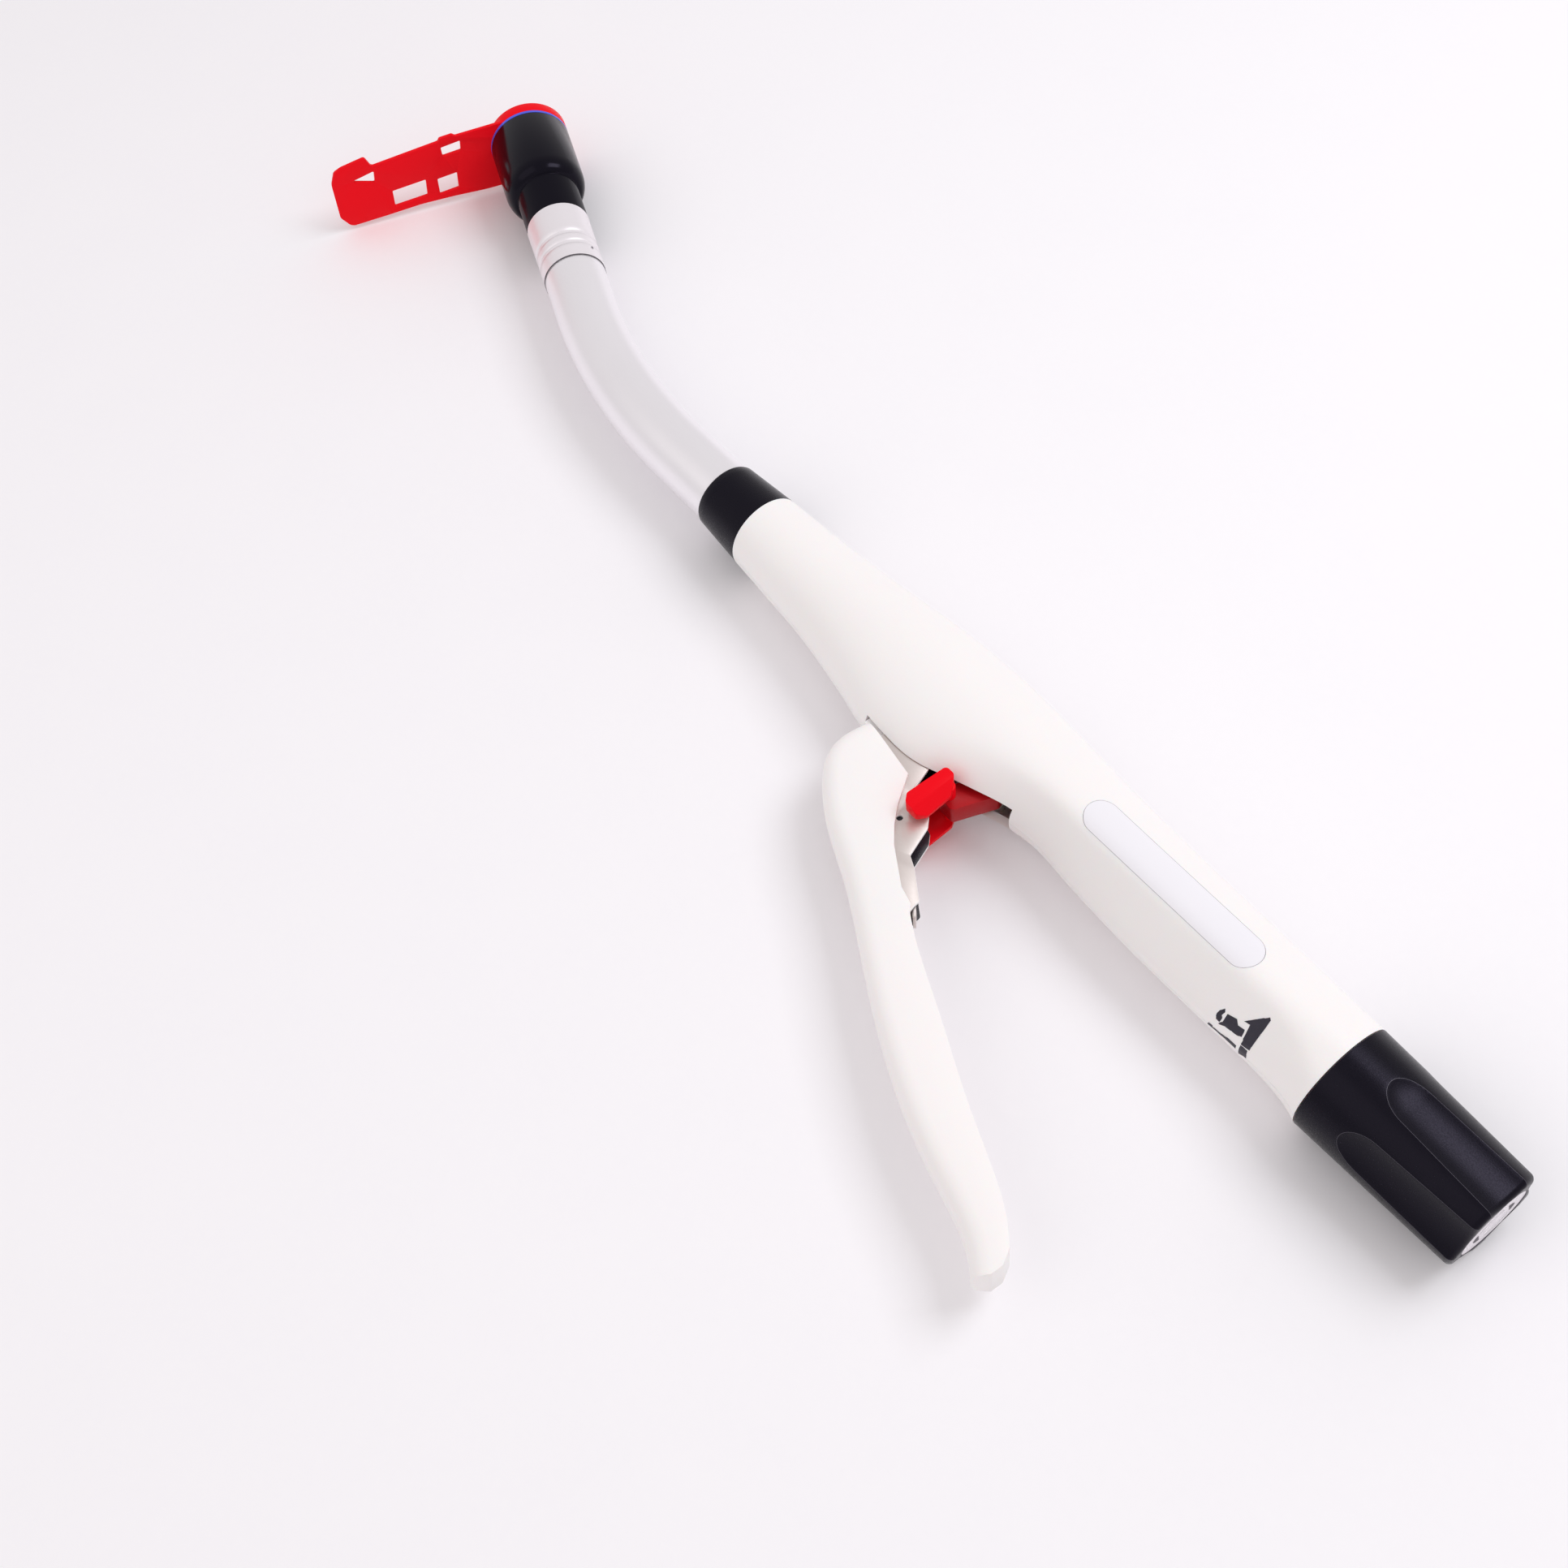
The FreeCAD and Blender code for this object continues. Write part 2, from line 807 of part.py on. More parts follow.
def lead_screw():
    """The screw, its thread stood in for by ring grooves, with two flats for the key plate."""
    end = screw_rear + screw_length
    plain = screw_rear + screw_length - screw_flat_length
    profile = [(0, 0), (0, screw_radius - screw_thread_depth)]
    along = screw_pitch / 2
    while along < plain - screw_rear:
        profile.append((along, screw_radius))
        profile.append((along + screw_pitch / 2, screw_radius - screw_thread_depth))
        along += screw_pitch
    profile += [(along, screw_radius), (screw_length, screw_radius), (screw_length, 0)]
    screw = turned(profile, Vector(screw_rear, 0, 0), Vector(1, 0, 0))
    for low in (screw_flat_half, -screw_flat_half - screw_radius):
        screw = screw.cut(box(plain + 3, end + 1, -9, 9, low, low + screw_radius))
    return screw


def key_plate():
    """The plate that keeps the screw from turning: its hole has the screw's two flats."""
    start = x_collar - key_plate_end
    plate = body_form(start, start + key_plate_thickness, wall + seam)
    hole = cylinder(
        screw_radius + running_fit,
        Vector(key_plate_start - 1, 0, 0),
        Vector(key_plate_end + 1, 0, 0),
    )
    flats = box(
        key_plate_start - 2,
        key_plate_end + 2,
        -9,
        9,
        -screw_flat_half - running_fit,
        screw_flat_half + running_fit,
    )
    return plate.cut(hole.common(flats))


def collar():
    """The dark ring between the handle and the shaft."""
    bore = tube_radius + seam
    step = bore + spigot_wall + seam
    edge = 0.5
    return turned(
        [
            (seam, step),
            (seam, collar_rear_radius),
            (collar_length - edge, collar_front_radius),
            (collar_length, collar_front_radius - edge / 2),
            (collar_length, bore),
            (spigot_length + seam, bore),
            (spigot_length + seam, step),
        ],
        behind(0),
        Vector(1, 0, 0),
    )


# Distances along the shaft's centre line, in front of the collar's rear rim
arc_end = shaft_straight + bend_radius * bend
ferrule_along = arc_end + shaft_front_straight
neck_along = ferrule_along + ferrule_length
front_along = neck_along + head_neck_length + head_length


def seat_block():
    """The block that carries the shaft tube's rear end and the firing spring's front end."""
    hole = push_tube_radius + passing_gap
    socket = tube_radius + seam
    return turned(
        [
            (0, hole),
            (0, seat_block_radius),
            (seat_front - seat_rear, seat_block_radius),
            (seat_front - seat_rear, socket),
            (seat_block_floor - seam, socket),
            (seat_block_floor - seam, hole),
        ],
        Vector(seat_rear, 0, 0),
        Vector(1, 0, 0),
    )


def ferrule():
    """The plain end sleeve of the shaft, with two shallow rings turned in it."""
    bore = tube_radius + seam
    points = [(seam, bore), (seam, ferrule_rear_radius)]
    for place in ferrule_rings:
        radius = ferrule_rear_radius + (ferrule_front_radius - ferrule_rear_radius) * (
            place / ferrule_length
        )
        points += [
            (place, radius),
            (place + ferrule_ring_depth, radius - ferrule_ring_depth),
            (place + ferrule_ring_width - ferrule_ring_depth, radius - ferrule_ring_depth),
            (place + ferrule_ring_width, radius),
        ]
    points += [(ferrule_length, ferrule_front_radius), (ferrule_length, bore)]
    return turned(points, ferrule_start, head_forward)


def spacers():
    """Discs that keep the push tube in the middle of the shaft tube."""
    _, _, place = shaft_wire(0, 1)
    discs = []
    for share in spacer_places:
        middle = shaft_straight + (arc_end - shaft_straight) * share
        centre = place(middle)
        ahead = (place(middle + 0.5) - place(middle - 0.5)).normalize()
        half = ahead * (spacer_length / 2)
        discs.append(
            tube(
                tube_radius - tube_wall - passing_gap,
                push_tube_radius + passing_gap,
                centre - half,
                centre + half,
            )
        )
    return Part.makeCompound(discs)


def head_casing():
    """The black head: a neck that plugs into the ferrule, and the round staple housing."""
    spigot = tube_radius
    depth = head_neck_length + head_length
    inner = head_radius - head_wall
    neck_bore = sleeve_radius + passing_gap
    outer = [
        (-head_spigot_length, neck_bore),
        (-head_spigot_length, spigot),
        (seam, spigot),
        (seam, head_neck_radius),
        (head_neck_length, head_neck_radius),
    ]
    rise = head_radius - head_neck_radius
    for i in range(1, 9):
        turn = math.pi / 2 * i / 8
        outer.append(
            (
                head_neck_length + head_step_length * (1 - math.cos(turn)),
                head_neck_radius + rise * math.sin(turn),
            )
        )
    return turned(
        outer
        + [
            (depth, head_radius),
            (depth, inner),
            (depth - head_bore_depth, inner),
            (depth - head_bore_depth, neck_bore),
        ],
        neck_start,
        head_forward,
    )


def staple_spots():
    """Each staple's place: its angle about the head and its radius."""
    for radius, count in staple_rows:
        for i in range(count):
            yield 360 * (i + (radius > staple_rows[0][0]) / 2) / count, radius


def head_block(angle, radius, long, wide, front, rear):
    """A block across a staple's place, between two distances behind the head's front rim."""
    block = Part.makeBox(wide, long, rear - front, Vector(radius - wide / 2, -long / 2, 0))
    block.rotate(Vector(), up, angle)
    block.Placement = Placement(
        on_head(rear), Rotation(head_side, up, head_forward, "ZXY")
    ).multiply(block.Placement)
    return block


def staple_guide():
    """The coloured ring that holds the staples, a slot for each."""
    outer = head_radius - head_wall - seam
    guide = turned(
        [
            (-guide_flange, guide_inner_radius),
            (-guide_flange, head_radius),
            (-seam, head_radius),
            (-seam, outer),
            (guide_depth, outer),
            (guide_depth, guide_inner_radius),
        ],
        on_head(0),
        -head_forward,
    )
    for angle, radius in staple_spots():
        guide = guide.cut(
            head_block(angle, radius, slot_length, slot_width, -guide_flange - 1, guide_depth + 1)
        )
    return guide


def staples():
    """The staples, waiting in their slots with the legs forward."""
    row = []
    rear = staple_set_back + staple_leg
    for angle, radius in staple_spots():
        whole = head_block(
            angle, radius, slot_length - 2 * seam, staple_wire, staple_set_back, rear
        )
        gap = slot_length - 2 * seam - 2 * staple_wire
        row.append(
            whole.cut(
                head_block(angle, radius, gap, 1, staple_set_back - 1, rear - staple_wire)
            )
        )
    return Part.makeCompound(row)


def staple_pusher():
    """The ring of fingers behind the staples, on the sleeve that the push tube drives."""
    base_rear = pusher_base_front + pusher_base_thickness
    rim = head_radius - head_wall - passing_gap
    bore = pull_rod_radius + passing_gap
    pusher = turned(
        [
            (pusher_base_front, bore),
            (pusher_base_front, rim),
            (base_rear, rim),
            (base_rear, sleeve_radius),
            (sleeve_rear, sleeve_radius),
            (sleeve_rear, bore),
        ],
        on_head(0),
        -head_forward,
    )
    fingers = [
        head_block(
            angle,
            radius,
            slot_length - 2 * passing_gap,
            slot_width - 2 * seam,
            pusher_finger_front,
            pusher_base_front + seam,
        )
        for angle, radius in staple_spots()
    ]
    return pusher.fuse(fingers)


def circular_knife():
    return tube(
        knife_radius, knife_radius - knife_wall, on_head(pusher_base_front), on_head(knife_set_back)
    )


def centre_rod():
    """The rod that carries the anvil, its tip drawn in behind the head's rim."""
    return turned(
        [
            (rod_tip_set_back, 0),
            (rod_tip_set_back, pull_rod_radius / 4),
            (rod_tip_set_back + rod_point_length, pull_rod_radius),
            (rod_rear, pull_rod_radius),
            (rod_rear, 0),
        ],
        on_head(0),
        -head_forward,
    )


def guard():
    """The transport guard: a disc over the staples, its hub in the head, and a side bar."""
    front = -guide_flange - seam
    disc = cylinder(head_radius, on_head(front), on_head(front - guard_disc_thickness))
    hub = cylinder(guard_hub_radius, on_head(front), on_head(front + guard_hub_length))
    bore = cylinder(
        guard_hub_bore,
        on_head(front - 2 * guard_disc_thickness),
        on_head(front + guard_hub_length + guard_disc_thickness),
    )

    def plate(outline, rounds, low, high):
        corners = [on_head(low, u, z) for u, z in outline]
        face = Part.Face(flat_wire(corners, rounds))
        return face.extrude(head_forward * (low - high))

    bar = plate(guard_outline, guard_rounds, front, front - guard_bar_thickness)
    solid = disc.fuse([hub, bar]).removeSplitter()
    for outline in guard_openings:
        rounds = [guard_opening_round] * len(outline)
        solid = solid.cut(plate(outline, rounds, front + 1, front - guard_disc_thickness - 1))
    return solid.cut(bore)


def curve(points):
    """One smooth open edge through points."""
    line = Part.BSplineCurve()
    line.interpolate(Points=points)
    return line.toShape()


def polyline(points):
    return [Part.LineSegment(a, b).toShape() for a, b in zip(points, points[1:])]


def moved_in(points, distance):
    """An open row of points moved towards its left-hand side, seen from above."""
    moved = []
    for i, point in enumerate(points):
        along = points[min(i + 1, len(points) - 1)] - points[max(i - 1, 0)]
        side = up.cross(along.normalize())
        moved.append(point + side * distance)
    return moved


def trigger_handle():
    """The moulded trigger: a long channel, open on the side that faces the body."""

    def at(points, height):
        return [behind(place, side, height) for place, side in points]

    low = -trigger_half_width
    back = at(trigger_back, low)
    palm = at(trigger_inner, low)
    first = back[0] + (back[0] - back[1]).normalize() * trigger_run_out
    last = back[-1] + (back[-1] - back[-2]).normalize() * trigger_run_out
    spine = curve([first, *back, last])
    drop = Vector(-trigger_hollow_reach / 2, -trigger_hollow_reach, 0)
    stock = Part.Face(Part.Wire([spine, *polyline([last, last + drop, first + drop, first])]))
    stock = stock.extrude(up * (2 * trigger_half_width))
    rims = [e for e in stock.Edges if abs(e.Length - spine.Length) < 0.5 and len(e.Vertexes) == 2]
    rims = [e for e in rims if e.Curve.TypeId == "Part::GeomBSplineCurve"]
    stock = stock.makeFillet(trigger_back_round, rims)
    over = moved_in(back, -trigger_back_round)
    front_edge = at(trigger_edge, low)
    ends = [palm[-1], *front_edge, *over, *at(trigger_end, low), palm[0]]
    solid = Part.Face(Part.Wire([curve(palm), *polyline(ends)]))
    solid = solid.extrude(up * (2 * trigger_half_width)).common(stock)
    half = trigger_half_width - trigger_wall
    floor = [p + up * (trigger_half_width - half) for p in moved_in(back, trigger_back_wall)]
    floor = floor[1:-1]
    below = floor[-1] + Vector(trigger_wall, -trigger_hollow_reach, 0)
    front = floor[0] + Vector(0, -trigger_hollow_reach, 0)
    hollow = Part.Face(Part.Wire([curve(floor), *polyline([floor[-1], below, front, floor[0]])]))
    hollow = hollow.extrude(up * (2 * half))
    beyond = behind(trigger_hollow_front).x
    size = 2 * trigger_hollow_reach
    solid_front = box(beyond, beyond + size, 0, size, -size, size)
    return solid.cut(hollow.cut(solid_front))


def trigger_frame():
    """The steel channel that joins the trigger to the pivot and ends in the two firing arms."""
    low, high = -frame_half_width, frame_half_width
    outline = [behind(place, side) for place, side, _ in frame_outline]
    solid = slab(outline, low, high, [r for _, _, r in frame_outline])
    inner = [behind(place, side) for place, side in frame_hollow]
    return solid.cut(slab(inner, low + frame_sheet, high - frame_sheet))


def trigger_cross_pin():
    centre = behind(*cross_pin_place)
    reach = up * cross_pin_reach
    return cylinder(cross_pin_radius, centre - reach, centre + reach)


def pin_holes(shape, radius):
    """Cut the cross pin's hole through a piece of the trigger."""
    centre = behind(*cross_pin_place)
    reach = up * (cross_pin_reach + seam)
    return shape.cut(cylinder(radius, centre - reach, centre + reach))


def frame_holes(frame):
    """The frame's pivot hole, its peep hole and the arc that clears the catch's crossbar."""
    tall = up * (2 * frame_half_width)
    for centre, radius in (
        (pivot, pivot_pin_radius + running_fit),
        (behind(*peep_hole_place), peep_hole_radius),
    ):
        frame = frame.cut(cylinder(radius, centre - tall, centre + tall))
    bar = catch_pivot + Vector(catch_bar_forward, catch_bar_drop, 0) - pivot
    reach = bar.Length
    half = catch_bar_radius + passing_gap
    start = math.degrees(math.atan2(bar.y, bar.x))
    sweep = squeeze_angle + 8
    outer = Part.makeCylinder(reach + half, 2 * tall.z, pivot - tall, up, sweep)
    inner = Part.makeCylinder(reach - half, 2 * tall.z, pivot - tall, up, sweep)
    arc = outer.cut(inner)
    arc.rotate(pivot, up, start - squeeze_angle)
    end = Rotation(up, -squeeze_angle).multVec(bar) + pivot
    return frame.cut(arc).cut(cylinder(half, end - tall, end + tall))


def trigger_blade():
    """The leaf that lies in the frame and shows at the trigger's inner edge."""
    outline = [behind(place, side) for place, side in blade_outline]
    return slab(outline, -blade_half_width, blade_half_width)


def safety_catch():
    """The red catch: a web in the slot, a crossbar behind it and a pad on each side."""
    web = slab(
        [behind(place, side) for place, side in catch_web], -catch_half_width, catch_half_width,
        [catch_web_round] * len(catch_web),
    )
    reach = up * catch_half_width
    hub = cylinder(catch_hub_radius, catch_pivot - reach, catch_pivot + reach)
    centre = catch_pivot + Vector(catch_bar_forward, catch_bar_drop, 0)
    bar_reach = up * (catch_pad_inner + 1)
    bar = cylinder(catch_bar_radius, centre - bar_reach, centre + bar_reach)
    pad = slab(
        [behind(place, side) for place, side in catch_pad], catch_pad_inner, catch_pad_outer,
        [catch_pad_round] * len(catch_pad),
    )
    rear = behind(max(place for place, _ in catch_pad)).x
    low, high = catch_pad_outer - catch_pad_slope - passing_gap, catch_pad_outer + passing_gap
    corner = [
        Vector(rear - passing_gap, 0, low),
        Vector(rear + catch_pad_slope + passing_gap, 0, high),
        Vector(rear - passing_gap, 0, high),
    ]
    wedge = Part.Face(Part.Wire(polyline([*corner, corner[0]])))
    pad = pad.cut(wedge.extrude(Vector(0, 2 * trigger_hollow_reach, 0)))
    solid = web.fuse([hub, bar, pad, mirrored(pad)])
    pin = up * (catch_half_width + 1)
    return solid.cut(
        cylinder(catch_pin_radius + running_fit, catch_pivot - pin, catch_pivot + pin)
    )


def pin(centre, radius):
    reach = up * (pin_reach - seam)
    return cylinder(radius, centre - reach, centre + reach)


def housing_screws():
    """The screws that hold the shells together, let into the right-hand shell."""
    screws = []
    for place, side in screw_places:
        seat = behind(place, side, screw_seat_height)
        head = cylinder(screw_head_radius, seat - up * screw_head_height, seat)
        shank = cylinder(screw_shank_radius, seat, seat + up * screw_shank_length)
        bottom = seat - up * screw_head_height
        floor = bottom.z + screw_cross_depth
        cross = [
            box(bottom.x - a, bottom.x + a, bottom.y - b, bottom.y + b, bottom.z, floor)
            for a, b in (screw_cross, screw_cross[::-1])
        ]
        screws.append(head.fuse(shank).cut(cross[0]).cut(cross[1]))
    return Part.makeCompound(screws)


def firing_spring():
    """A round-wire spring between the push collar and the seat block."""
    start = push_collar_rear + push_collar_thickness + passing_gap + spring_wire / 2
    end = seat_rear - passing_gap - spring_wire / 2
    helix = Part.makeHelix((end - start) / spring_turns, end - start, spring_radius)
    ring = Part.Wire(Part.makeCircle(spring_wire / 2, Vector(spring_radius, 0, 0), Vector(0, 1, 0)))
    coil = Part.Wire(helix).makePipeShell([ring], True, True)
    coil.Placement = Placement(Vector(start, 0, 0), Rotation(up, Vector(1, 0, 0)))
    return coil


def push_tube():
    return tube(
        push_tube_radius,
        pull_rod_radius + passing_gap,
        Vector(push_collar_rear, 0, 0),
        Vector(push_tube_end, 0, 0),
    )


def push_collar():
    """The flange that the firing arms press forward."""
    return tube(
        push_collar_radius,
        push_tube_radius,
        Vector(push_collar_rear, 0, 0),
        Vector(push_collar_rear + push_collar_thickness, 0, 0),
    )


push_tube_end = x_shaft - push_tube_setback
flex_start = push_tube_end + push_stroke + flex_end_gap - x_collar
flex_end = front_along - sleeve_rear - flex_end_gap
pull_rod_end = x_collar - pull_rod_setback
cable_start = pull_rod_end + screw_travel + flex_end_gap - x_collar
cable_end = front_along - rod_rear - flex_end_gap
tube_end = neck_along - head_spigot_length - flex_end_gap

blank = housing_blank()
save(housing_half(blank, 1), "left_housing_shell")
save(housing_half(blank, -1), "right_housing_shell")
save(collar(), "front_collar")
save(shaft_pipe(-tube_seat_depth, tube_end, tube_radius, tube_radius - tube_wall), "shaft_tube")
save(seat_block(), "tube_seat_block")
save(ferrule(), "shaft_ferrule")
save(spacers(), "shaft_spacers")
save(
    shaft_pipe(flex_start, flex_end, push_tube_radius, pull_rod_radius + passing_gap),
    "flexible_push_tube",
)
save(shaft_pipe(cable_start, cable_end, pull_rod_radius, 0), "flexible_pull_cable")
save(head_casing(), "head_casing")
save(staple_guide(), "staple_guide")
save(staples(), "staples")
save(staple_pusher(), "staple_pusher")
save(circular_knife(), "circular_knife")
save(centre_rod(), "centre_rod")
save(guard(), "transport_guard")
save(window_lens(), "indicator_window")
save(scale_plate(), "indicator_scale")
save(pointer(), "indicator_pointer")
save(housing_screws(), "housing_screws")
save(pin(pivot, pivot_pin_radius), "trigger_pivot_pin")
save(pin(catch_pivot, catch_pin_radius), "catch_pivot_pin")
save(
    tube(
        nut_flange_radius,
        nut_sleeve_radius + running_fit,
        Vector(washer_start, 0, 0),
        Vector(washer_start + thrust_washer_thickness, 0, 0),
    ),
    "thrust_washer",
)
save(key_plate(), "screw_key_plate")
save(firing_spring(), "firing_spring")
save(knob(), "adjusting_knob")
save(
    cylinder(end_cap_radius, Vector(), Vector(end_cap_thickness - seam, 0, 0)), "knob_end_cap"
)
save(nut_sleeve(), "nut_sleeve")
save(lead_screw(), "lead_screw")
save(
    cylinder(pull_rod_radius, Vector(screw_rear + screw_length, 0, 0), Vector(pull_rod_end, 0, 0)),
    "pull_rod",
)
save(pin_holes(trigger_handle(), cross_pin_radius), "trigger_handle")
save(pin_holes(frame_holes(trigger_frame()), cross_pin_radius), "trigger_frame")
save(trigger_cross_pin(), "trigger_cross_pin")
save(trigger_blade(), "trigger_spring_blade")
save(push_tube(), "push_tube")
save(push_collar(), "push_collar")
save(safety_catch(), "safety_catch")
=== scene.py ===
"""Circular stapler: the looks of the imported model, lit and seen as in the photograph."""
import json
import math

import bmesh
import bpy
from mathutils import Matrix, Vector
from mathutils.bvhtree import BVHTree
from mathutils.geometry import tessellate_polygon


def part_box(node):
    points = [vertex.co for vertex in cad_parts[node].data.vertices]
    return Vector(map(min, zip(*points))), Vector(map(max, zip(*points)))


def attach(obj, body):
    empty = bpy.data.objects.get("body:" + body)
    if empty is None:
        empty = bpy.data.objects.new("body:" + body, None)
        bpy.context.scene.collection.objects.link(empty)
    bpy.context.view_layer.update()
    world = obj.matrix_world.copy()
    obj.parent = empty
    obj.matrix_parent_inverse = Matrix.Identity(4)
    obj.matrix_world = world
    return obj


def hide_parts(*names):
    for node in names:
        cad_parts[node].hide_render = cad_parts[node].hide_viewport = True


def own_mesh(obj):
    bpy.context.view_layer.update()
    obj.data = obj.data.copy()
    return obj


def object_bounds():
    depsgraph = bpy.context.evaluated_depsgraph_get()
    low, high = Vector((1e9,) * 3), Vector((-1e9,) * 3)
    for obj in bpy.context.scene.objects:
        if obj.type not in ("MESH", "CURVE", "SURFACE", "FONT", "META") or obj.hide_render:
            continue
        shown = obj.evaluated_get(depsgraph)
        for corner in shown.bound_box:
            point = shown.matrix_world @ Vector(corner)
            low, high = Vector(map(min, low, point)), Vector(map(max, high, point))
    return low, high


bl_info = {
    "name": "Circular stapler",
    "version": (1, 0, 0),
    "blender": (4, 5, 0),
    "location": "View3D > Sidebar > Stapler",
    "description": "Builds the visual pieces of a circular stapler on its packed frame",
    "category": "Object",
}

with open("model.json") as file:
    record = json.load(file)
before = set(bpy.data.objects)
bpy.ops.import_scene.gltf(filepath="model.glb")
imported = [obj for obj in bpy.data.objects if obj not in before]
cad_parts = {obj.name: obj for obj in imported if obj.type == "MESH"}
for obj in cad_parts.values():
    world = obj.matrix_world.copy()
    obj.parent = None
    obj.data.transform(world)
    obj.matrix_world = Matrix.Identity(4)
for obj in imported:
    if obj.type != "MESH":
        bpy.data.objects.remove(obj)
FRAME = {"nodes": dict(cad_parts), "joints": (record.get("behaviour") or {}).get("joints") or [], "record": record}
CAD_BOX = [list(map(float, corner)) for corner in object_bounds()]
MM = 0.001

# Meshing, in mm and degrees: when points count as one, and a rounded edge's steps
JOIN_REACH = 0.002
FLAT_ANGLE = 0.4
EDGE_STEPS = 2
MOST_CORNERS = 4
ARC_STEP = 5

# Knob cap, in mm and degrees: how deep its face lies, and the rings and crescents drawn on it in painted shade,
# for the gap at its rim and its moulded rings
CAP_RECESS = 0.15
CAP_RIM_WIDTH = 0.22
CAP_RING_RADIUS = 5.6
CAP_RING_ANGLE = -17.0
CRESCENT_WIDTH = 1.7
CRESCENT_HALF = 34
THIN_ARC_WIDTH = 0.25
THIN_ARC_START = 40
THIN_ARC_SWEEP = 86

# Ferrule, in mm and degrees: the painted shadow in the rear rim's seam, and the painted shade of the small
# locating hole behind the rings
SEAM_WIDTH = 0.4
SEAM_PROUD = 0.02
SEAM_SIDES = 96
RIM_REACH = 0.5
DOT_RADIUS = 0.45
DOT_SIDES = 16
DOT_ALONG = 4.2
DOT_ANGLE = 140.0
DOT_PROUD = 0.13

# Trigger, in mm: its frame's sheet, within which the inner walls take painted shade, and the lip that closes the
# trigger's front end
FRAME_SHEET = 0.85
# A frame face whose normal leans less than this across the sheet is a cut edge and takes the painted edge
# highlight
SIDE_FACING = 0.5
LIP_LOW = (187.7, 17.9, -4.6)
LIP_HIGH = (194.1, 21.3, 4.2)

# Catch, in mm: half the width of the shaded web between its pads
CATCH_WEB_HALF = 3.4

# Scale, in mm: from the card's front end, and inwards from its long sides
BAND_START = 9.0
BAND_END = 52.0
BAND_MARGIN = 2.2
BAND_HEIGHT = 0.03
TICK_START = 30.0
TICK_STEP = 1.5
TICK_COUNT = 9
TICK_MARGIN = 1.8
TICK_LENGTH = 0.9
LONG_TICK_LENGTH = 1.6
LONG_TICK_EVERY = 5
TICK_HALF = 0.08
TICK_HEIGHT = 0.05

# The symbol near the knob, in mm: the collar's spigot inside the shells, the handle's radius
# there, and the longest edge that still follows the round handle
SPIGOT_LENGTH = 5.0
SYMBOL_GIRTH = 14.5
SYMBOL_STEP = 0.6
SYMBOL_SPLITS = 4

# The symbol's outlines: mm from the front collar's rear rim, and degrees round the handle
SYMBOL = (
    ((195.2, 38.0), (199.4, 59.4), (200.0, 57.5), (200.2, 17.0), (197.8, 15.4), (196.8, 39.5)),
    (
        (190.5, 15.0),
        (191.2, 20.7),
        (191.1, 31.8),
        (193.6, 34.6),
        (194.7, 30.5),
        (196.6, 31.9),
        (196.9, 23.0),
        (196.2, 21.0),
        (192.3, 18.5),
    ),
    (
        (189.4, 18.0),
        (188.9, 24.2),
        (189.1, 29.2),
        (189.9, 34.2),
        (190.4, 31.2),
        (190.1, 26.1),
        (190.6, 24.5),
        (190.7, 17.4),
    ),
    (
        (188.0, -2.7),
        (188.3, 3.3),
        (189.4, 5.6),
        (189.7, 2.4),
        (192.3, 4.9),
        (193.9, 7.4),
        (197.0, 7.4),
        (197.1, 1.1),
        (193.2, 1.4),
        (189.6, -1.4),
    ),
    ((197.8, 13.2), (199.9, 15.4), (200.5, 1.4), (198.1, -4.7)),
)

# Camera, in the row frame: where it stands, which way it looks, its picture's right, and in mm
# its lens and sensor
CAMERA_PLACE = Vector((-44.2, 187.1, 448.8)) * MM
CAMERA_FORWARD = Vector((0.4544, -0.2642, -0.8507))
CAMERA_RIGHT = Vector((-0.6199, -0.7796, -0.089))
CAMERA_LENS = 46.46
CAMERA_SENSOR = 36
CAMERA_NEAR = 0.01

# Stage, in metres and watts. A lamp stands off by so much to the right, up and towards the camera
FLOOR_MIDDLE = 0.2
FLOOR_SIZE = 3.0
LAMPS_AIM = Vector((0.2, 0.02, 0))
ROOM_COLOUR = "FFFCFD"
ROOM_STRENGTH = 0.68
LAMPS = (
    ("key", (0.55, 0.65, 0.75), 0.55, 4.4, "F8FAFF"),
    ("fill", (-0.7, 0.2, 0.8), 0.9, 1.3, "FFFAF8"),
)


def body_of(node):
    """The name of the moving body that a CAD node belongs to."""
    for body, nodes in FRAME["record"]["behaviour"]["bodies"].items():
        if node in nodes:
            return body
    raise ValueError("no body holds " + node)


def linear(hex_colour):
    """A linear colour from the six hex digits of a screen colour."""
    values = [int(hex_colour[i : i + 2], 16) / 255 for i in (0, 2, 4)]
    return [v / 12.92 if v <= 0.04045 else ((v + 0.055) / 1.055) ** 2.4 for v in values] + [1.0]


def add_node(tree, kind, inputs=None, **settings):
    """Add one shader node. An input is given as a value or as another node's socket."""
    node = tree.nodes.new(kind)
    for key, value in settings.items():
        setattr(node, key, value)
    for key, value in (inputs or {}).items():
        if isinstance(value, bpy.types.NodeSocket):
            tree.links.new(value, node.inputs[key])
        else:
            node.inputs[key].default_value = value
    return node


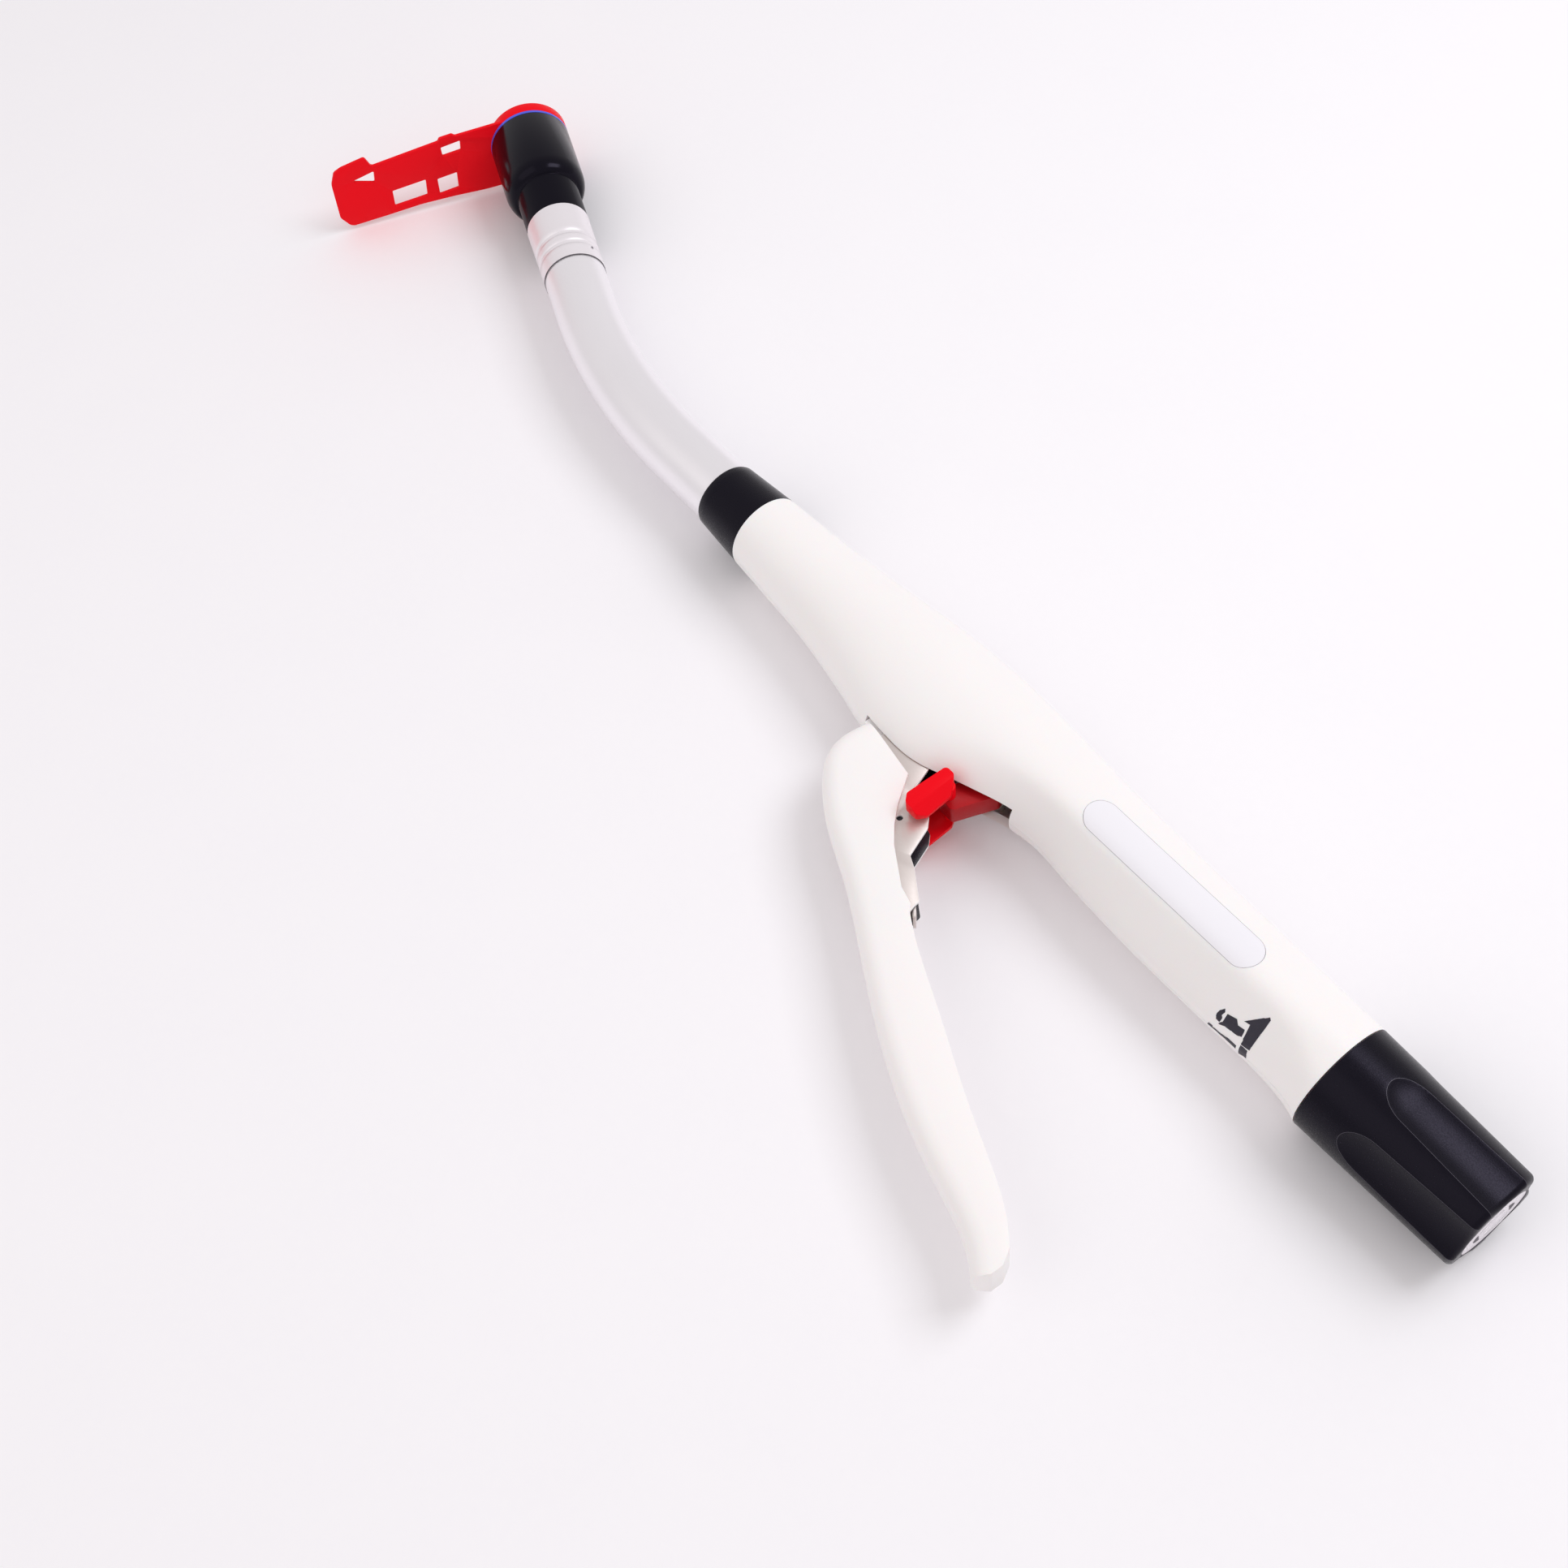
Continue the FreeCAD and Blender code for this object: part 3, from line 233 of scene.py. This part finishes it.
def surface(name, light, dark, rough=(0.3, 0.4), grain=0.4, depth=0.0, stretch=(1, 1, 1), **more):
    """A material whose colour and gloss drift slowly and whose face has a fine grain.

    It drifts between two hex colours and two roughnesses. grain is the grain's size in mm, depth
    its height in mm, and stretch its length along X, Y, Z. more holds the shader's other inputs.
    """
    material = bpy.data.materials.new(name)
    material.use_nodes = True
    tree = material.node_tree
    tree.nodes.clear()
    place = add_node(tree, "ShaderNodeTexCoord").outputs["Object"]
    cloud = add_node(tree, "ShaderNodeTexNoise", {"Vector": place, "Scale": 40, "Detail": 2})
    scaled = add_node(
        tree, "ShaderNodeMapping", {"Vector": place, "Scale": [1 / value for value in stretch]}
    )
    fine = add_node(
        tree,
        "ShaderNodeTexNoise",
        {"Vector": scaled.outputs["Vector"], "Scale": 1 / (grain * MM), "Detail": 3},
    )
    blend = add_node(
        tree,
        "ShaderNodeMath",
        {0: cloud.outputs["Fac"], 1: fine.outputs["Fac"]},
        operation="MULTIPLY",
    )
    colour = add_node(
        tree,
        "ShaderNodeMix",
        {"Factor": blend.outputs[0], 6: linear(light), 7: linear(dark)},
        data_type="RGBA",
    )
    gloss = add_node(
        tree,
        "ShaderNodeMapRange",
        {"Value": fine.outputs["Fac"], "From Min": 0.3, "From Max": 0.7},
    )
    gloss.inputs["To Min"].default_value, gloss.inputs["To Max"].default_value = rough
    bump = add_node(
        tree, "ShaderNodeBump", {"Height": fine.outputs["Fac"], "Distance": depth * MM}
    )
    shader = add_node(
        tree,
        "ShaderNodeBsdfPrincipled",
        {
            "Base Color": colour.outputs[2],
            "Roughness": gloss.outputs[0],
            "Normal": bump.outputs[0],
            **more,
        },
    )
    add_node(tree, "ShaderNodeOutputMaterial", {"Surface": shader.outputs[0]})
    return material


def moulded_white(name, light, dark, rough, grain, depth):
    """Moulded white ABS: light goes in a little way, so shadows stay soft and the gloss is low."""
    return surface(
        name,
        light,
        dark,
        rough,
        grain=grain,
        depth=depth,
        **{"Subsurface Weight": 0.12, "Subsurface Scale": 0.002, "Specular IOR Level": 0.3},
    )


def moulded_black(name, light, dark, rough, grain, depth, level):
    """Moulded black plastic: a weak reflection with a violet cast, at the given specular level."""
    return surface(
        name,
        light,
        dark,
        rough,
        grain=grain,
        depth=depth,
        **{"Specular IOR Level": level, "Specular Tint": linear("D6CCEA")},
    )


def moulded_red(colour):
    """Moulded red polypropylene, of the guard and the catch: a strong colour with hardly a gloss."""
    found = bpy.data.materials.get("Red polypropylene")
    return found or surface(
        "Red polypropylene",
        colour,
        "EE0617",
        rough=(0.3, 0.4),
        grain=0.4,
        depth=0.003,
        **{"Specular IOR Level": 0.08},
    )


def shadow_line():
    """Painted shade for a narrow seam or recess in ABS, where little light comes: a soft dark grey."""
    found = bpy.data.materials.get("Shaded ABS")
    return found or surface("Shaded ABS", "4A444C", "3A353D", rough=(0.5, 0.6))


def link(name, mesh, material, body=None):
    """Put a mesh into the scene with its material, riding on a body if one is named."""
    piece = bpy.data.objects.new(name, mesh)
    bpy.context.scene.collection.objects.link(piece)
    mesh.materials.append(material)
    if body:
        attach(piece, body)
    return piece


def dressed(node, material, edge=0.0, crease=32.0, edge_sheen=None):
    """A CAD node's visual twin: joined faces, rounded edges of the given width, smooth shading.

    crease is the angle in degrees from which an edge counts as sharp; the last argument is a material
    of painted highlight for the rounded edges.
    """
    mesh = FRAME["nodes"][node].data.copy()
    mesh.materials.clear()
    form = bmesh.new()
    form.from_mesh(mesh)
    bmesh.ops.remove_doubles(form, verts=form.verts, dist=JOIN_REACH * MM)
    if edge > 0:
        bmesh.ops.dissolve_limit(
            form, angle_limit=math.radians(FLAT_ANGLE), verts=form.verts, edges=form.edges
        )
        sharp = [
            e
            for e in form.edges
            if len(e.link_faces) == 2 and e.calc_face_angle(0) > math.radians(crease)
        ]
        rounded = bmesh.ops.bevel(
            form,
            geom=sharp,
            offset=edge * MM,
            segments=EDGE_STEPS,
            profile=0.5,
            affect="EDGES",
            clamp_overlap=True,
            material=-1,
        )
        for face in rounded["faces"]:
            face.material_index = 1 if edge_sheen else 0
        many_sided = [f for f in form.faces if len(f.verts) > MOST_CORNERS]
        bmesh.ops.triangulate(form, faces=many_sided)
    for face in form.faces:
        face.smooth = True
    for line in form.edges:
        line.smooth = line.calc_face_angle(0) < math.radians(crease)
    form.to_mesh(mesh)
    form.free()
    twin = link(node + "_look", mesh, material, body_of(node))
    if edge_sheen:
        mesh.materials.append(edge_sheen)
    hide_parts(node)
    return twin


def block(form, low, high):
    """Add a box between two corners to a bmesh, in millimetres."""
    middle = (Vector(low) + Vector(high)) / 2 * MM
    size = (Vector(high) - Vector(low)) * MM
    matrix = Matrix.Translation(middle) @ Matrix.Diagonal(size.to_4d())
    bmesh.ops.create_cube(form, size=1, matrix=matrix)


def arc(form, radius, width, start, sweep, crescent=False):
    """Add a flat arc to a bmesh, in mm and degrees, pointed at both ends if it is a crescent."""
    pairs = []
    count = max(8, round(sweep / ARC_STEP))
    for i in range(count + 1):
        angle = math.radians(start + sweep * i / count)
        half = width / 2 * (math.sin(math.pi * i / count) if crescent else 1)
        out = Vector((math.cos(angle), math.sin(angle), 0))
        pairs.append([form.verts.new(out * r * MM) for r in (radius - half, radius + half)])
    for (a, b), (c, d) in zip(pairs, pairs[1:]):
        form.faces.new((a, c, d, b))


def as_mesh(form, name):
    """Turn a bmesh into a named mesh and free it."""
    mesh = bpy.data.meshes.new(name)
    form.to_mesh(mesh)
    form.free()
    return mesh


def ferrule_rear():
    """The centre, axis and radius of the ferrule's rear rim: its axis is the guard's slide."""
    axis = next(Vector(j["axis"]) for j in FRAME["joints"] if j["name"] == "guard_pull")
    verts = [v.co for v in FRAME["nodes"]["shaft_ferrule"].data.vertices]
    rear = min(v.dot(axis) for v in verts)
    ring = [v for v in verts if v.dot(axis) < rear + RIM_REACH * MM]
    centre = sum(ring, Vector()) / len(ring)
    return centre, axis, max((v - centre).length for v in ring)


def on_ferrule(along, angle, proud):
    """Where a flat mark lies on the ferrule, in mm and degrees round it from its side."""
    centre, axis, radius = ferrule_rear()
    side = Vector((0, 0, 1)).cross(axis)
    out = side * math.cos(math.radians(angle)) + Vector((0, 0, 1)) * math.sin(math.radians(angle))
    place = centre + axis * (along * MM) + out * (radius + proud * MM)
    turn = out.to_track_quat("Z", "X").to_matrix().to_4x4()
    return Matrix.Translation(place) @ turn


def settings():
    """The panel's colours and sizes."""
    return bpy.context.scene.stapler_colours, bpy.context.scene.stapler_sizes


class StaplerColours(bpy.types.PropertyGroup):
    """The colours that a user would change, as hex digits."""

    white: bpy.props.StringProperty(
        name="White plastic", description="Body and trigger", default="FCF8F6"
    )
    black: bpy.props.StringProperty(
        name="Black plastic", description="Knob, collar and head", default="09080F"
    )
    red: bpy.props.StringProperty(name="Red", description="Guard and catch", default="F60A1C")
    blue: bpy.props.StringProperty(name="Blue", description="Staple guide", default="4E60E6")
    metal: bpy.props.StringProperty(name="Shaft metal", description="Tube", default="FBF8FB")
    steel: bpy.props.StringProperty(
        name="Sheet steel", description="Trigger frame and its blade", default="DED5D0"
    )


class StaplerSizes(bpy.types.PropertyGroup):
    """Sizes of what is added to the frame."""

    edge: bpy.props.FloatProperty(
        name="Edge rounding", description="Width of a moulded edge, in mm", default=0.35, min=0.05
    )
    print_height: bpy.props.FloatProperty(
        name="Print thickness", description="How far prints stand proud, in mm", default=0.04
    )
    floor_gap: bpy.props.FloatProperty(
        name="Floor gap", description="Space under the lowest point, in mm", default=0.2
    )


class STAPLER_OT_housing(bpy.types.Operator):
    """The two white shells of the handle, with their screws and the two pivot pins"""

    bl_idname = "stapler.housing"
    bl_label = "Handle housing"

    def execute(self, context):
        colours, _ = settings()
        # A fine spark-eroded mould texture gives the shells an even, milky sheen
        white = moulded_white("White ABS", colours.white, "F8F3F1", (0.34, 0.46), 0.5, 0.003)
        for node in ("left_housing_shell", "right_housing_shell"):
            dressed(node, white, crease=28)
        # Zinc-plated steel, turned: a plain grey metal
        steel = surface(
            "Zinc-plated steel",
            "B8B5B3",
            "8F8C8A",
            rough=(0.25, 0.4),
            grain=0.3,
            depth=0.003,
            Metallic=1.0,
        )
        for node in ("housing_screws", "trigger_pivot_pin", "catch_pivot_pin"):
            dressed(node, steel)
        return {"FINISHED"}


class STAPLER_OT_knob(bpy.types.Operator):
    """The black adjusting knob, its end cap and the nut inside, and the front collar"""

    bl_idname = "stapler.knob"
    bl_label = "Adjusting knob"

    def execute(self, context):
        colours, sizes = settings()
        # Moulded nylon with a fine spark texture: it breaks the highlights in the grooves up
        black = moulded_black(
            "Black nylon", colours.black, "0C0B13", (0.2, 0.38), 0.35, 0.02, level=0.2
        )
        # Painted highlight on the rounded edges: thin grey lines round the grooves, in the same nylon
        edge_sheen = surface(
            "Nylon edge highlight", "5E5964", "524D58", rough=(0.3, 0.4), grain=0.3, depth=0.005
        )
        dressed("adjusting_knob", black, edge=sizes.edge * 0.8, crease=14, edge_sheen=edge_sheen)
        dressed("front_collar", black, crease=25)
        # Polished white ABS: brighter and glossier than the shells
        cap = surface(
            "Polished ABS", "F1EAF0", "E6DEE6", rough=(0.2, 0.3), grain=0.6, depth=0.002
        )
        plug = dressed("knob_end_cap", cap, edge=sizes.edge / 2)
        rear = min(v.co.x for v in plug.data.vertices)
        radius = max(v.co.y for v in plug.data.vertices) / MM
        for vert in plug.data.vertices:
            vert.co.x = max(vert.co.x, rear + CAP_RECESS * MM)
        # The rim ring, the crescents and the thin arcs are flat dark grey marks of painted shade, for the shade in
        # the gap round the cap and in its moulded rings
        form = bmesh.new()
        arc(form, radius - CAP_RIM_WIDTH, CAP_RIM_WIDTH, 0, 360)
        for side in (0, 180):
            tilt = CAP_RING_ANGLE + side
            arc(
                form,
                CAP_RING_RADIUS,
                CRESCENT_WIDTH,
                tilt - CRESCENT_HALF,
                2 * CRESCENT_HALF,
                crescent=True,
            )
            arc(form, CAP_RING_RADIUS, THIN_ARC_WIDTH, tilt + THIN_ARC_START, THIN_ARC_SWEEP)
        marks = as_mesh(form, "cap_shade_marks")
        place = Matrix.Translation((rear + CAP_RECESS * MM / 2, 0, 0))
        marks.transform(place @ Matrix(((0, 0, 1), (1, 0, 0), (0, 1, 0))).to_4x4())
        link("cap_shade_marks", marks, shadow_line(), body_of("knob_end_cap"))
        # Turned brass: a warm yellow metal
        brass = surface(
            "Brass", "C9A45A", "A9813C", rough=(0.25, 0.4), grain=0.4, depth=0.004, Metallic=1.0
        )
        for node in ("nut_sleeve", "thrust_washer"):
            dressed(node, brass)
        return {"FINISHED"}


class STAPLER_OT_shaft(bpy.types.Operator):
    """The satin tube, its ferrule and what runs inside"""

    bl_idname = "stapler.shaft"
    bl_label = "Shaft"

    def execute(self, context):
        colours, _ = settings()
        # Brushed along the tube, then anodised: pale, satin, with bands of light along it
        satin = surface(
            "Anodised aluminium",
            colours.metal,
            "F3F0F3",
            rough=(0.34, 0.4),
            grain=0.25,
            depth=0.0004,
            stretch=(12, 1, 1),
            Metallic=0.72,
        )
        dressed("shaft_tube", satin)
        # Turned, then blasted and anodised: whiter and duller than the tube
        ringed = surface(
            "Blasted aluminium",
            "F8F3F6",
            "F0EBEF",
            rough=(0.36, 0.44),
            grain=0.2,
            depth=0.001,
            Metallic=0.55,
        )
        dressed("shaft_ferrule", ringed, crease=50)
        # Painted shade for the small hole: a flat dark disc for its inner wall, which is in its own shadow
        dark = surface("Shaded aluminium", "6A646C", "5A545C", rough=(0.5, 0.6))
        form = bmesh.new()
        bmesh.ops.create_circle(form, cap_ends=True, segments=DOT_SIDES, radius=DOT_RADIUS * MM)
        dot = as_mesh(form, "ferrule_hole_shade")
        dot.transform(on_ferrule(DOT_ALONG, DOT_ANGLE, DOT_PROUD))
        link("ferrule_hole_shade", dot, dark, "handle")
        # A thin dark ring round the rear rim: painted shadow in the seam's gap
        centre, axis, radius = ferrule_rear()
        middle = Matrix.Translation(centre - axis * (SEAM_WIDTH * MM / 2))
        form = bmesh.new()
        bmesh.ops.create_cone(
            form,
            segments=SEAM_SIDES,
            radius1=radius + SEAM_PROUD * MM,
            radius2=radius + SEAM_PROUD * MM,
            depth=SEAM_WIDTH * MM,
            matrix=middle @ axis.to_track_quat("Z", "X").to_matrix().to_4x4(),
        )
        seam = shadow_line()
        link("ferrule_seam_shadow", as_mesh(form, "ferrule_seam_shadow"), seam, "handle")
        # Drawn and ground stainless steel: a cool, fairly bright metal
        plain = surface(
            "Ground stainless steel",
            "B9B4B0",
            "97918D",
            rough=(0.25, 0.4),
            grain=0.3,
            depth=0.003,
            Metallic=1.0,
        )
        for node in (
            "flexible_push_tube",
            "flexible_pull_cable",
            "push_tube",
            "push_collar",
            "pull_rod",
            "lead_screw",
        ):
            dressed(node, plain)
        spring = dressed("firing_spring", plain)
        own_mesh(spring)
        # Moulded acetal: an uncoloured, waxy off-white
        inner = surface(
            "Acetal", "DAD8D4", "C9C6C2", rough=(0.4, 0.55), grain=0.5, depth=0.004
        )
        for node in ("tube_seat_block", "shaft_spacers", "screw_key_plate"):
            dressed(node, inner)
        return {"FINISHED"}


class STAPLER_OT_head(bpy.types.Operator):
    """The gloss black head with its blue staple guide, staples, pusher, knife and rod"""

    bl_idname = "stapler.head"
    bl_label = "Staple head"

    def execute(self, context):
        colours, sizes = settings()
        # Moulded in a polished mould: narrow, clear highlights on black
        gloss = moulded_black(
            "Black polycarbonate", colours.black, "0B0A12", (0.16, 0.22), 0.5, 0.002, level=0.17
        )
        dressed("head_casing", gloss, edge=sizes.edge / 2, crease=40)
        # Coloured through and polished: a clear blue ring
        blue = surface(
            "Blue ABS", colours.blue, "4152D0", rough=(0.2, 0.3), grain=0.4, depth=0.003
        )
        dressed("staple_guide", blue, crease=40)
        # Polished steel and titanium wire: the brightest metal on the piece
        steel = surface(
            "Polished stainless steel",
            "C8C6C6",
            "A7A4A3",
            rough=(0.2, 0.3),
            grain=0.2,
            depth=0.002,
            Metallic=1.0,
        )
        for node in ("staples", "circular_knife", "centre_rod"):
            dressed(node, steel)
        # Moulded nylon, uncoloured: a matt ivory
        pusher = surface(
            "Natural nylon", "E4E1DD", "D2CFCB", rough=(0.4, 0.5), grain=0.4, depth=0.003
        )
        dressed("staple_pusher", pusher)
        return {"FINISHED"}


class STAPLER_OT_guard(bpy.types.Operator):
    """The red transport guard: its disc and its side bar with the openings"""

    bl_idname = "stapler.guard"
    bl_label = "Transport guard"

    def execute(self, context):
        colours, sizes = settings()
        dressed("transport_guard", moulded_red(colours.red), edge=sizes.edge, crease=30)
        return {"FINISHED"}


class STAPLER_OT_trigger(bpy.types.Operator):
    """The white trigger with its lip, and its steel frame, blade and pin"""

    bl_idname = "stapler.trigger"
    bl_label = "Trigger"

    def execute(self, context):
        colours, sizes = settings()
        # The shells' ABS with a slightly coarser mould texture: a little duller
        white = moulded_white("Trigger ABS", colours.white, "F9F5F3", (0.36, 0.48), 0.45, 0.004)
        dressed("trigger_handle", white, edge=sizes.edge, crease=35)
        # Rolled sheet with its mill grain: a warm grey, satin metal
        sheet = surface(
            "Rolled stainless steel",
            colours.steel,
            "D0C5C0",
            rough=(0.28, 0.38),
            grain=0.3,
            depth=0.002,
            stretch=(5, 1, 1),
            Metallic=0.6,
        )
        # Painted highlight on the sheet's cut and rounded edges: a thin white outline
        bright = surface("Steel edge highlight", "FFFFFF", "F8F4F2", rough=(0.3, 0.4))
        frame = dressed("trigger_frame", sheet, edge=sizes.edge, crease=35, edge_sheen=bright)
        # Painted shade on the frame's inner walls, which face each other: almost black
        shaded = surface("Shaded steel", "2B252E", "1D1920", rough=(0.2, 0.3))
        frame.data.materials.append(shaded)
        depth = max(abs(v.co.z) for v in frame.data.vertices) - FRAME_SHEET * MM
        # Faces inside the sheets take the painted shade, and sideways faces the painted edge highlight
        for face in frame.data.polygons:
            if all(abs(frame.data.vertices[i].co.z) < depth for i in face.vertices):
                face.material_index = 2
            elif abs(face.normal.z) < SIDE_FACING:
                face.material_index = 1
        dressed("trigger_spring_blade", sheet, edge=sizes.edge / 4, crease=35)
        dressed("trigger_cross_pin", sheet)
        form = bmesh.new()
        block(form, LIP_LOW, LIP_HIGH)
        link("trigger_lip", as_mesh(form, "trigger_lip"), white, "trigger")
        return {"FINISHED"}


class STAPLER_OT_catch(bpy.types.Operator):
    """The red safety catch"""

    bl_idname = "stapler.catch"
    bl_label = "Safety catch"

    def execute(self, context):
        colours, sizes = settings()
        red = moulded_red(colours.red)
        catch = dressed("safety_catch", red, edge=sizes.edge * 2, crease=24)
        # Painted shade on the web between the pads, which lies deep in the slot: the same plastic in a deeper red
        deep = surface(
            "Shaded red polypropylene",
            "B8101A",
            "A80C15",
            rough=(0.3, 0.4),
            **{"Specular IOR Level": 0.2},
        )
        catch.data.materials.append(deep)
        # The faces near the middle, on the web, take the painted shade
        for face in catch.data.polygons:
            if abs(face.center.z) < CATCH_WEB_HALF * MM:
                face.material_index = 1
        return {"FINISHED"}


class STAPLER_OT_indicator(bpy.types.Operator):
    """The indicator window with its scale and pointer"""

    bl_idname = "stapler.indicator"
    bl_label = "Indicator"

    def execute(self, context):
        # Frosted on its back and polished on its face: milky, with the scale faint behind it
        lens = surface(
            "Frosted polycarbonate",
            "F9F7FB",
            "F6F4FA",
            rough=(0.08, 0.14),
            grain=1.0,
            depth=0.001,
            **{"Alpha": 0.965, "Specular IOR Level": 0.3},
        )
        dressed("indicator_window", lens, crease=40)
        # Coated card: a flat, even white
        card = surface(
            "Coated card", "FFFDFD", "FBF9FC", rough=(0.4, 0.5), grain=0.5, depth=0.002
        )
        dressed("indicator_scale", card)
        # Moulded ABS in a softer red than the guard's
        mark = surface("Red ABS", "E02A38", "D42030", rough=(0.3, 0.4), grain=0.5, depth=0.002)
        dressed("indicator_pointer", mark)
        low, high = (corner / MM for corner in map(Vector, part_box("indicator_scale")))
        top = high.z
        form = bmesh.new()
        block(
            form,
            (high.x - BAND_END, low.y + BAND_MARGIN, top),
            (high.x - BAND_START, high.y - BAND_MARGIN, top + BAND_HEIGHT),
        )
        # Printing ink, a thin coat that takes the card's sheen: a light blue
        band = surface(
            "Blue ink", "5866E0", "6472E6", rough=(0.4, 0.5), grain=0.5, depth=0.001
        )
        link("scale_band", as_mesh(form, "scale_band"), band, "handle")
        form = bmesh.new()
        edge = high.y - TICK_MARGIN
        for i in range(TICK_COUNT):
            x = high.x - TICK_START - i * TICK_STEP
            length = TICK_LENGTH if i % LONG_TICK_EVERY else LONG_TICK_LENGTH
            low_corner = (x - TICK_HALF, edge - length, top)
            block(form, low_corner, (x + TICK_HALF, edge, top + TICK_HEIGHT))
        # The same ink, printed solid: dark blue lines
        ink = surface(
            "Dark blue ink", "1C2A96", "182488", rough=(0.4, 0.5), grain=0.5, depth=0.001
        )
        link("scale_marks", as_mesh(form, "scale_marks"), ink, "handle")
        return {"FINISHED"}


class STAPLER_OT_print(bpy.types.Operator):
    """The black symbol printed on the handle near the knob"""

    bl_idname = "stapler.print"
    bl_label = "Printed symbol"

    def execute(self, context):
        _, sizes = settings()
        form = bmesh.new()
        for node in ("left_housing_shell", "right_housing_shell"):
            form.from_mesh(FRAME["nodes"][node].data)
        body = BVHTree.FromBMesh(form)
        form.free()
        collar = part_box("left_housing_shell")[1].x / MM - SPIGOT_LENGTH
        per_degree = math.radians(SYMBOL_GIRTH)
        form = bmesh.new()
        for outline in SYMBOL:
            flat = [Vector((along, degrees * per_degree, 0)) for along, degrees in outline]
            corners = [form.verts.new(point) for point in flat]
            for face in tessellate_polygon([flat]):
                form.faces.new([corners[i] for i in face])
        for _ in range(SYMBOL_SPLITS):
            long = [e for e in form.edges if e.calc_length() > SYMBOL_STEP]
            bmesh.ops.subdivide_edges(form, edges=long, cuts=1)
            bmesh.ops.triangulate(form, faces=form.faces)
        for vert in form.verts:
            angle = math.radians(vert.co.y / per_degree)
            out = Vector((0, math.cos(angle), math.sin(angle)))
            near = Vector(((collar - vert.co.x) * MM, 0, 0)) + out * (SYMBOL_GIRTH + 1) * MM
            vert.co = body.find_nearest(near)[0] + out * (sizes.print_height * MM)
        bmesh.ops.recalc_face_normals(form, faces=form.faces)
        # Pad-printing ink, a touch glossier than the shells: a near black with a violet cast
        ink = surface("Black ink", "23202E", "2E2A3A", rough=(0.3, 0.4), grain=0.4, depth=0.001)
        link("printed_symbol", as_mesh(form, "printed_symbol"), ink, "handle")
        return {"FINISHED"}


class STAPLER_OT_stage(bpy.types.Operator):
    """Floor, soft lights and the camera"""

    bl_idname = "stapler.stage"
    bl_label = "Stage"

    def execute(self, context):
        _, sizes = settings()
        scene = context.scene
        floor_height = CAD_BOX[0][2] - sizes.floor_gap * MM
        form = bmesh.new()
        bmesh.ops.create_grid(form, x_segments=1, y_segments=1, size=FLOOR_SIZE)
        mesh = as_mesh(form, "floor")
        mesh.transform(Matrix.Translation((FLOOR_MIDDLE, 0, floor_height)))
        # Matt backdrop paper: pale, with no gloss
        paper = surface("Paper", "FCFAFC", "F9F7FA", rough=(0.75, 0.85), grain=3.0, depth=0.01)
        staged = [link("floor", mesh, paper)]
        world = bpy.data.worlds.new("Soft room")
        world.use_nodes = True
        world.node_tree.nodes["Background"].inputs["Color"].default_value = linear(ROOM_COLOUR)
        world.node_tree.nodes["Background"].inputs["Strength"].default_value = ROOM_STRENGTH
        scene.world = world
        forward = CAMERA_FORWARD.normalized()
        right = CAMERA_RIGHT.normalized()
        above = right.cross(forward)
        for name, (across, up, near), size, power, tint in LAMPS:
            away = right * across + above * up - forward * near
            light = bpy.data.lights.new(name, "AREA")
            light.energy = power
            light.size = size
            light.color = linear(tint)[:3]
            lamp = bpy.data.objects.new(name, light)
            lamp.location = LAMPS_AIM + away
            lamp.rotation_euler = away.to_track_quat("Z", "Y").to_euler()
            scene.collection.objects.link(lamp)
            staged.append(lamp)
        camera_data = bpy.data.cameras.new("Camera")
        camera_data.lens = CAMERA_LENS
        camera_data.sensor_width = CAMERA_SENSOR
        camera_data.clip_start = CAMERA_NEAR
        camera = bpy.data.objects.new("Camera", camera_data)
        turn = Matrix((right, above, -forward)).transposed().to_4x4()
        camera.matrix_world = Matrix.Translation(CAMERA_PLACE) @ turn
        scene.collection.objects.link(camera)
        scene.camera = camera
        scene.view_settings.view_transform = "Standard"
        return {"FINISHED"}


OPERATORS = (
    STAPLER_OT_housing,
    STAPLER_OT_knob,
    STAPLER_OT_shaft,
    STAPLER_OT_head,
    STAPLER_OT_guard,
    STAPLER_OT_trigger,
    STAPLER_OT_catch,
    STAPLER_OT_indicator,
    STAPLER_OT_print,
    STAPLER_OT_stage,
)


class STAPLER_PT_panel(bpy.types.Panel):
    """Lists the pieces in the sidebar"""

    bl_label = "Circular stapler"
    bl_idname = "STAPLER_PT_panel"
    bl_space_type = "VIEW_3D"
    bl_region_type = "UI"
    bl_category = "Stapler"

    def draw(self, context):
        for group in (context.scene.stapler_colours, context.scene.stapler_sizes):
            for name in group.bl_rna.properties.keys():
                if name not in ("rna_type", "name"):
                    self.layout.prop(group, name)
        for operator in OPERATORS:
            self.layout.operator(operator.bl_idname)


CLASSES = (StaplerColours, StaplerSizes, *OPERATORS, STAPLER_PT_panel)


def register():
    for item in CLASSES:
        bpy.utils.register_class(item)
    bpy.types.Scene.stapler_colours = bpy.props.PointerProperty(type=StaplerColours)
    bpy.types.Scene.stapler_sizes = bpy.props.PointerProperty(type=StaplerSizes)


def unregister():
    del bpy.types.Scene.stapler_sizes
    del bpy.types.Scene.stapler_colours
    for item in reversed(CLASSES):
        bpy.utils.unregister_class(item)


def main():
    register()
    for operator in OPERATORS:
        group, name = operator.bl_idname.split(".")
        getattr(getattr(bpy.ops, group), name)()


if __name__ == "__main__":
    main()
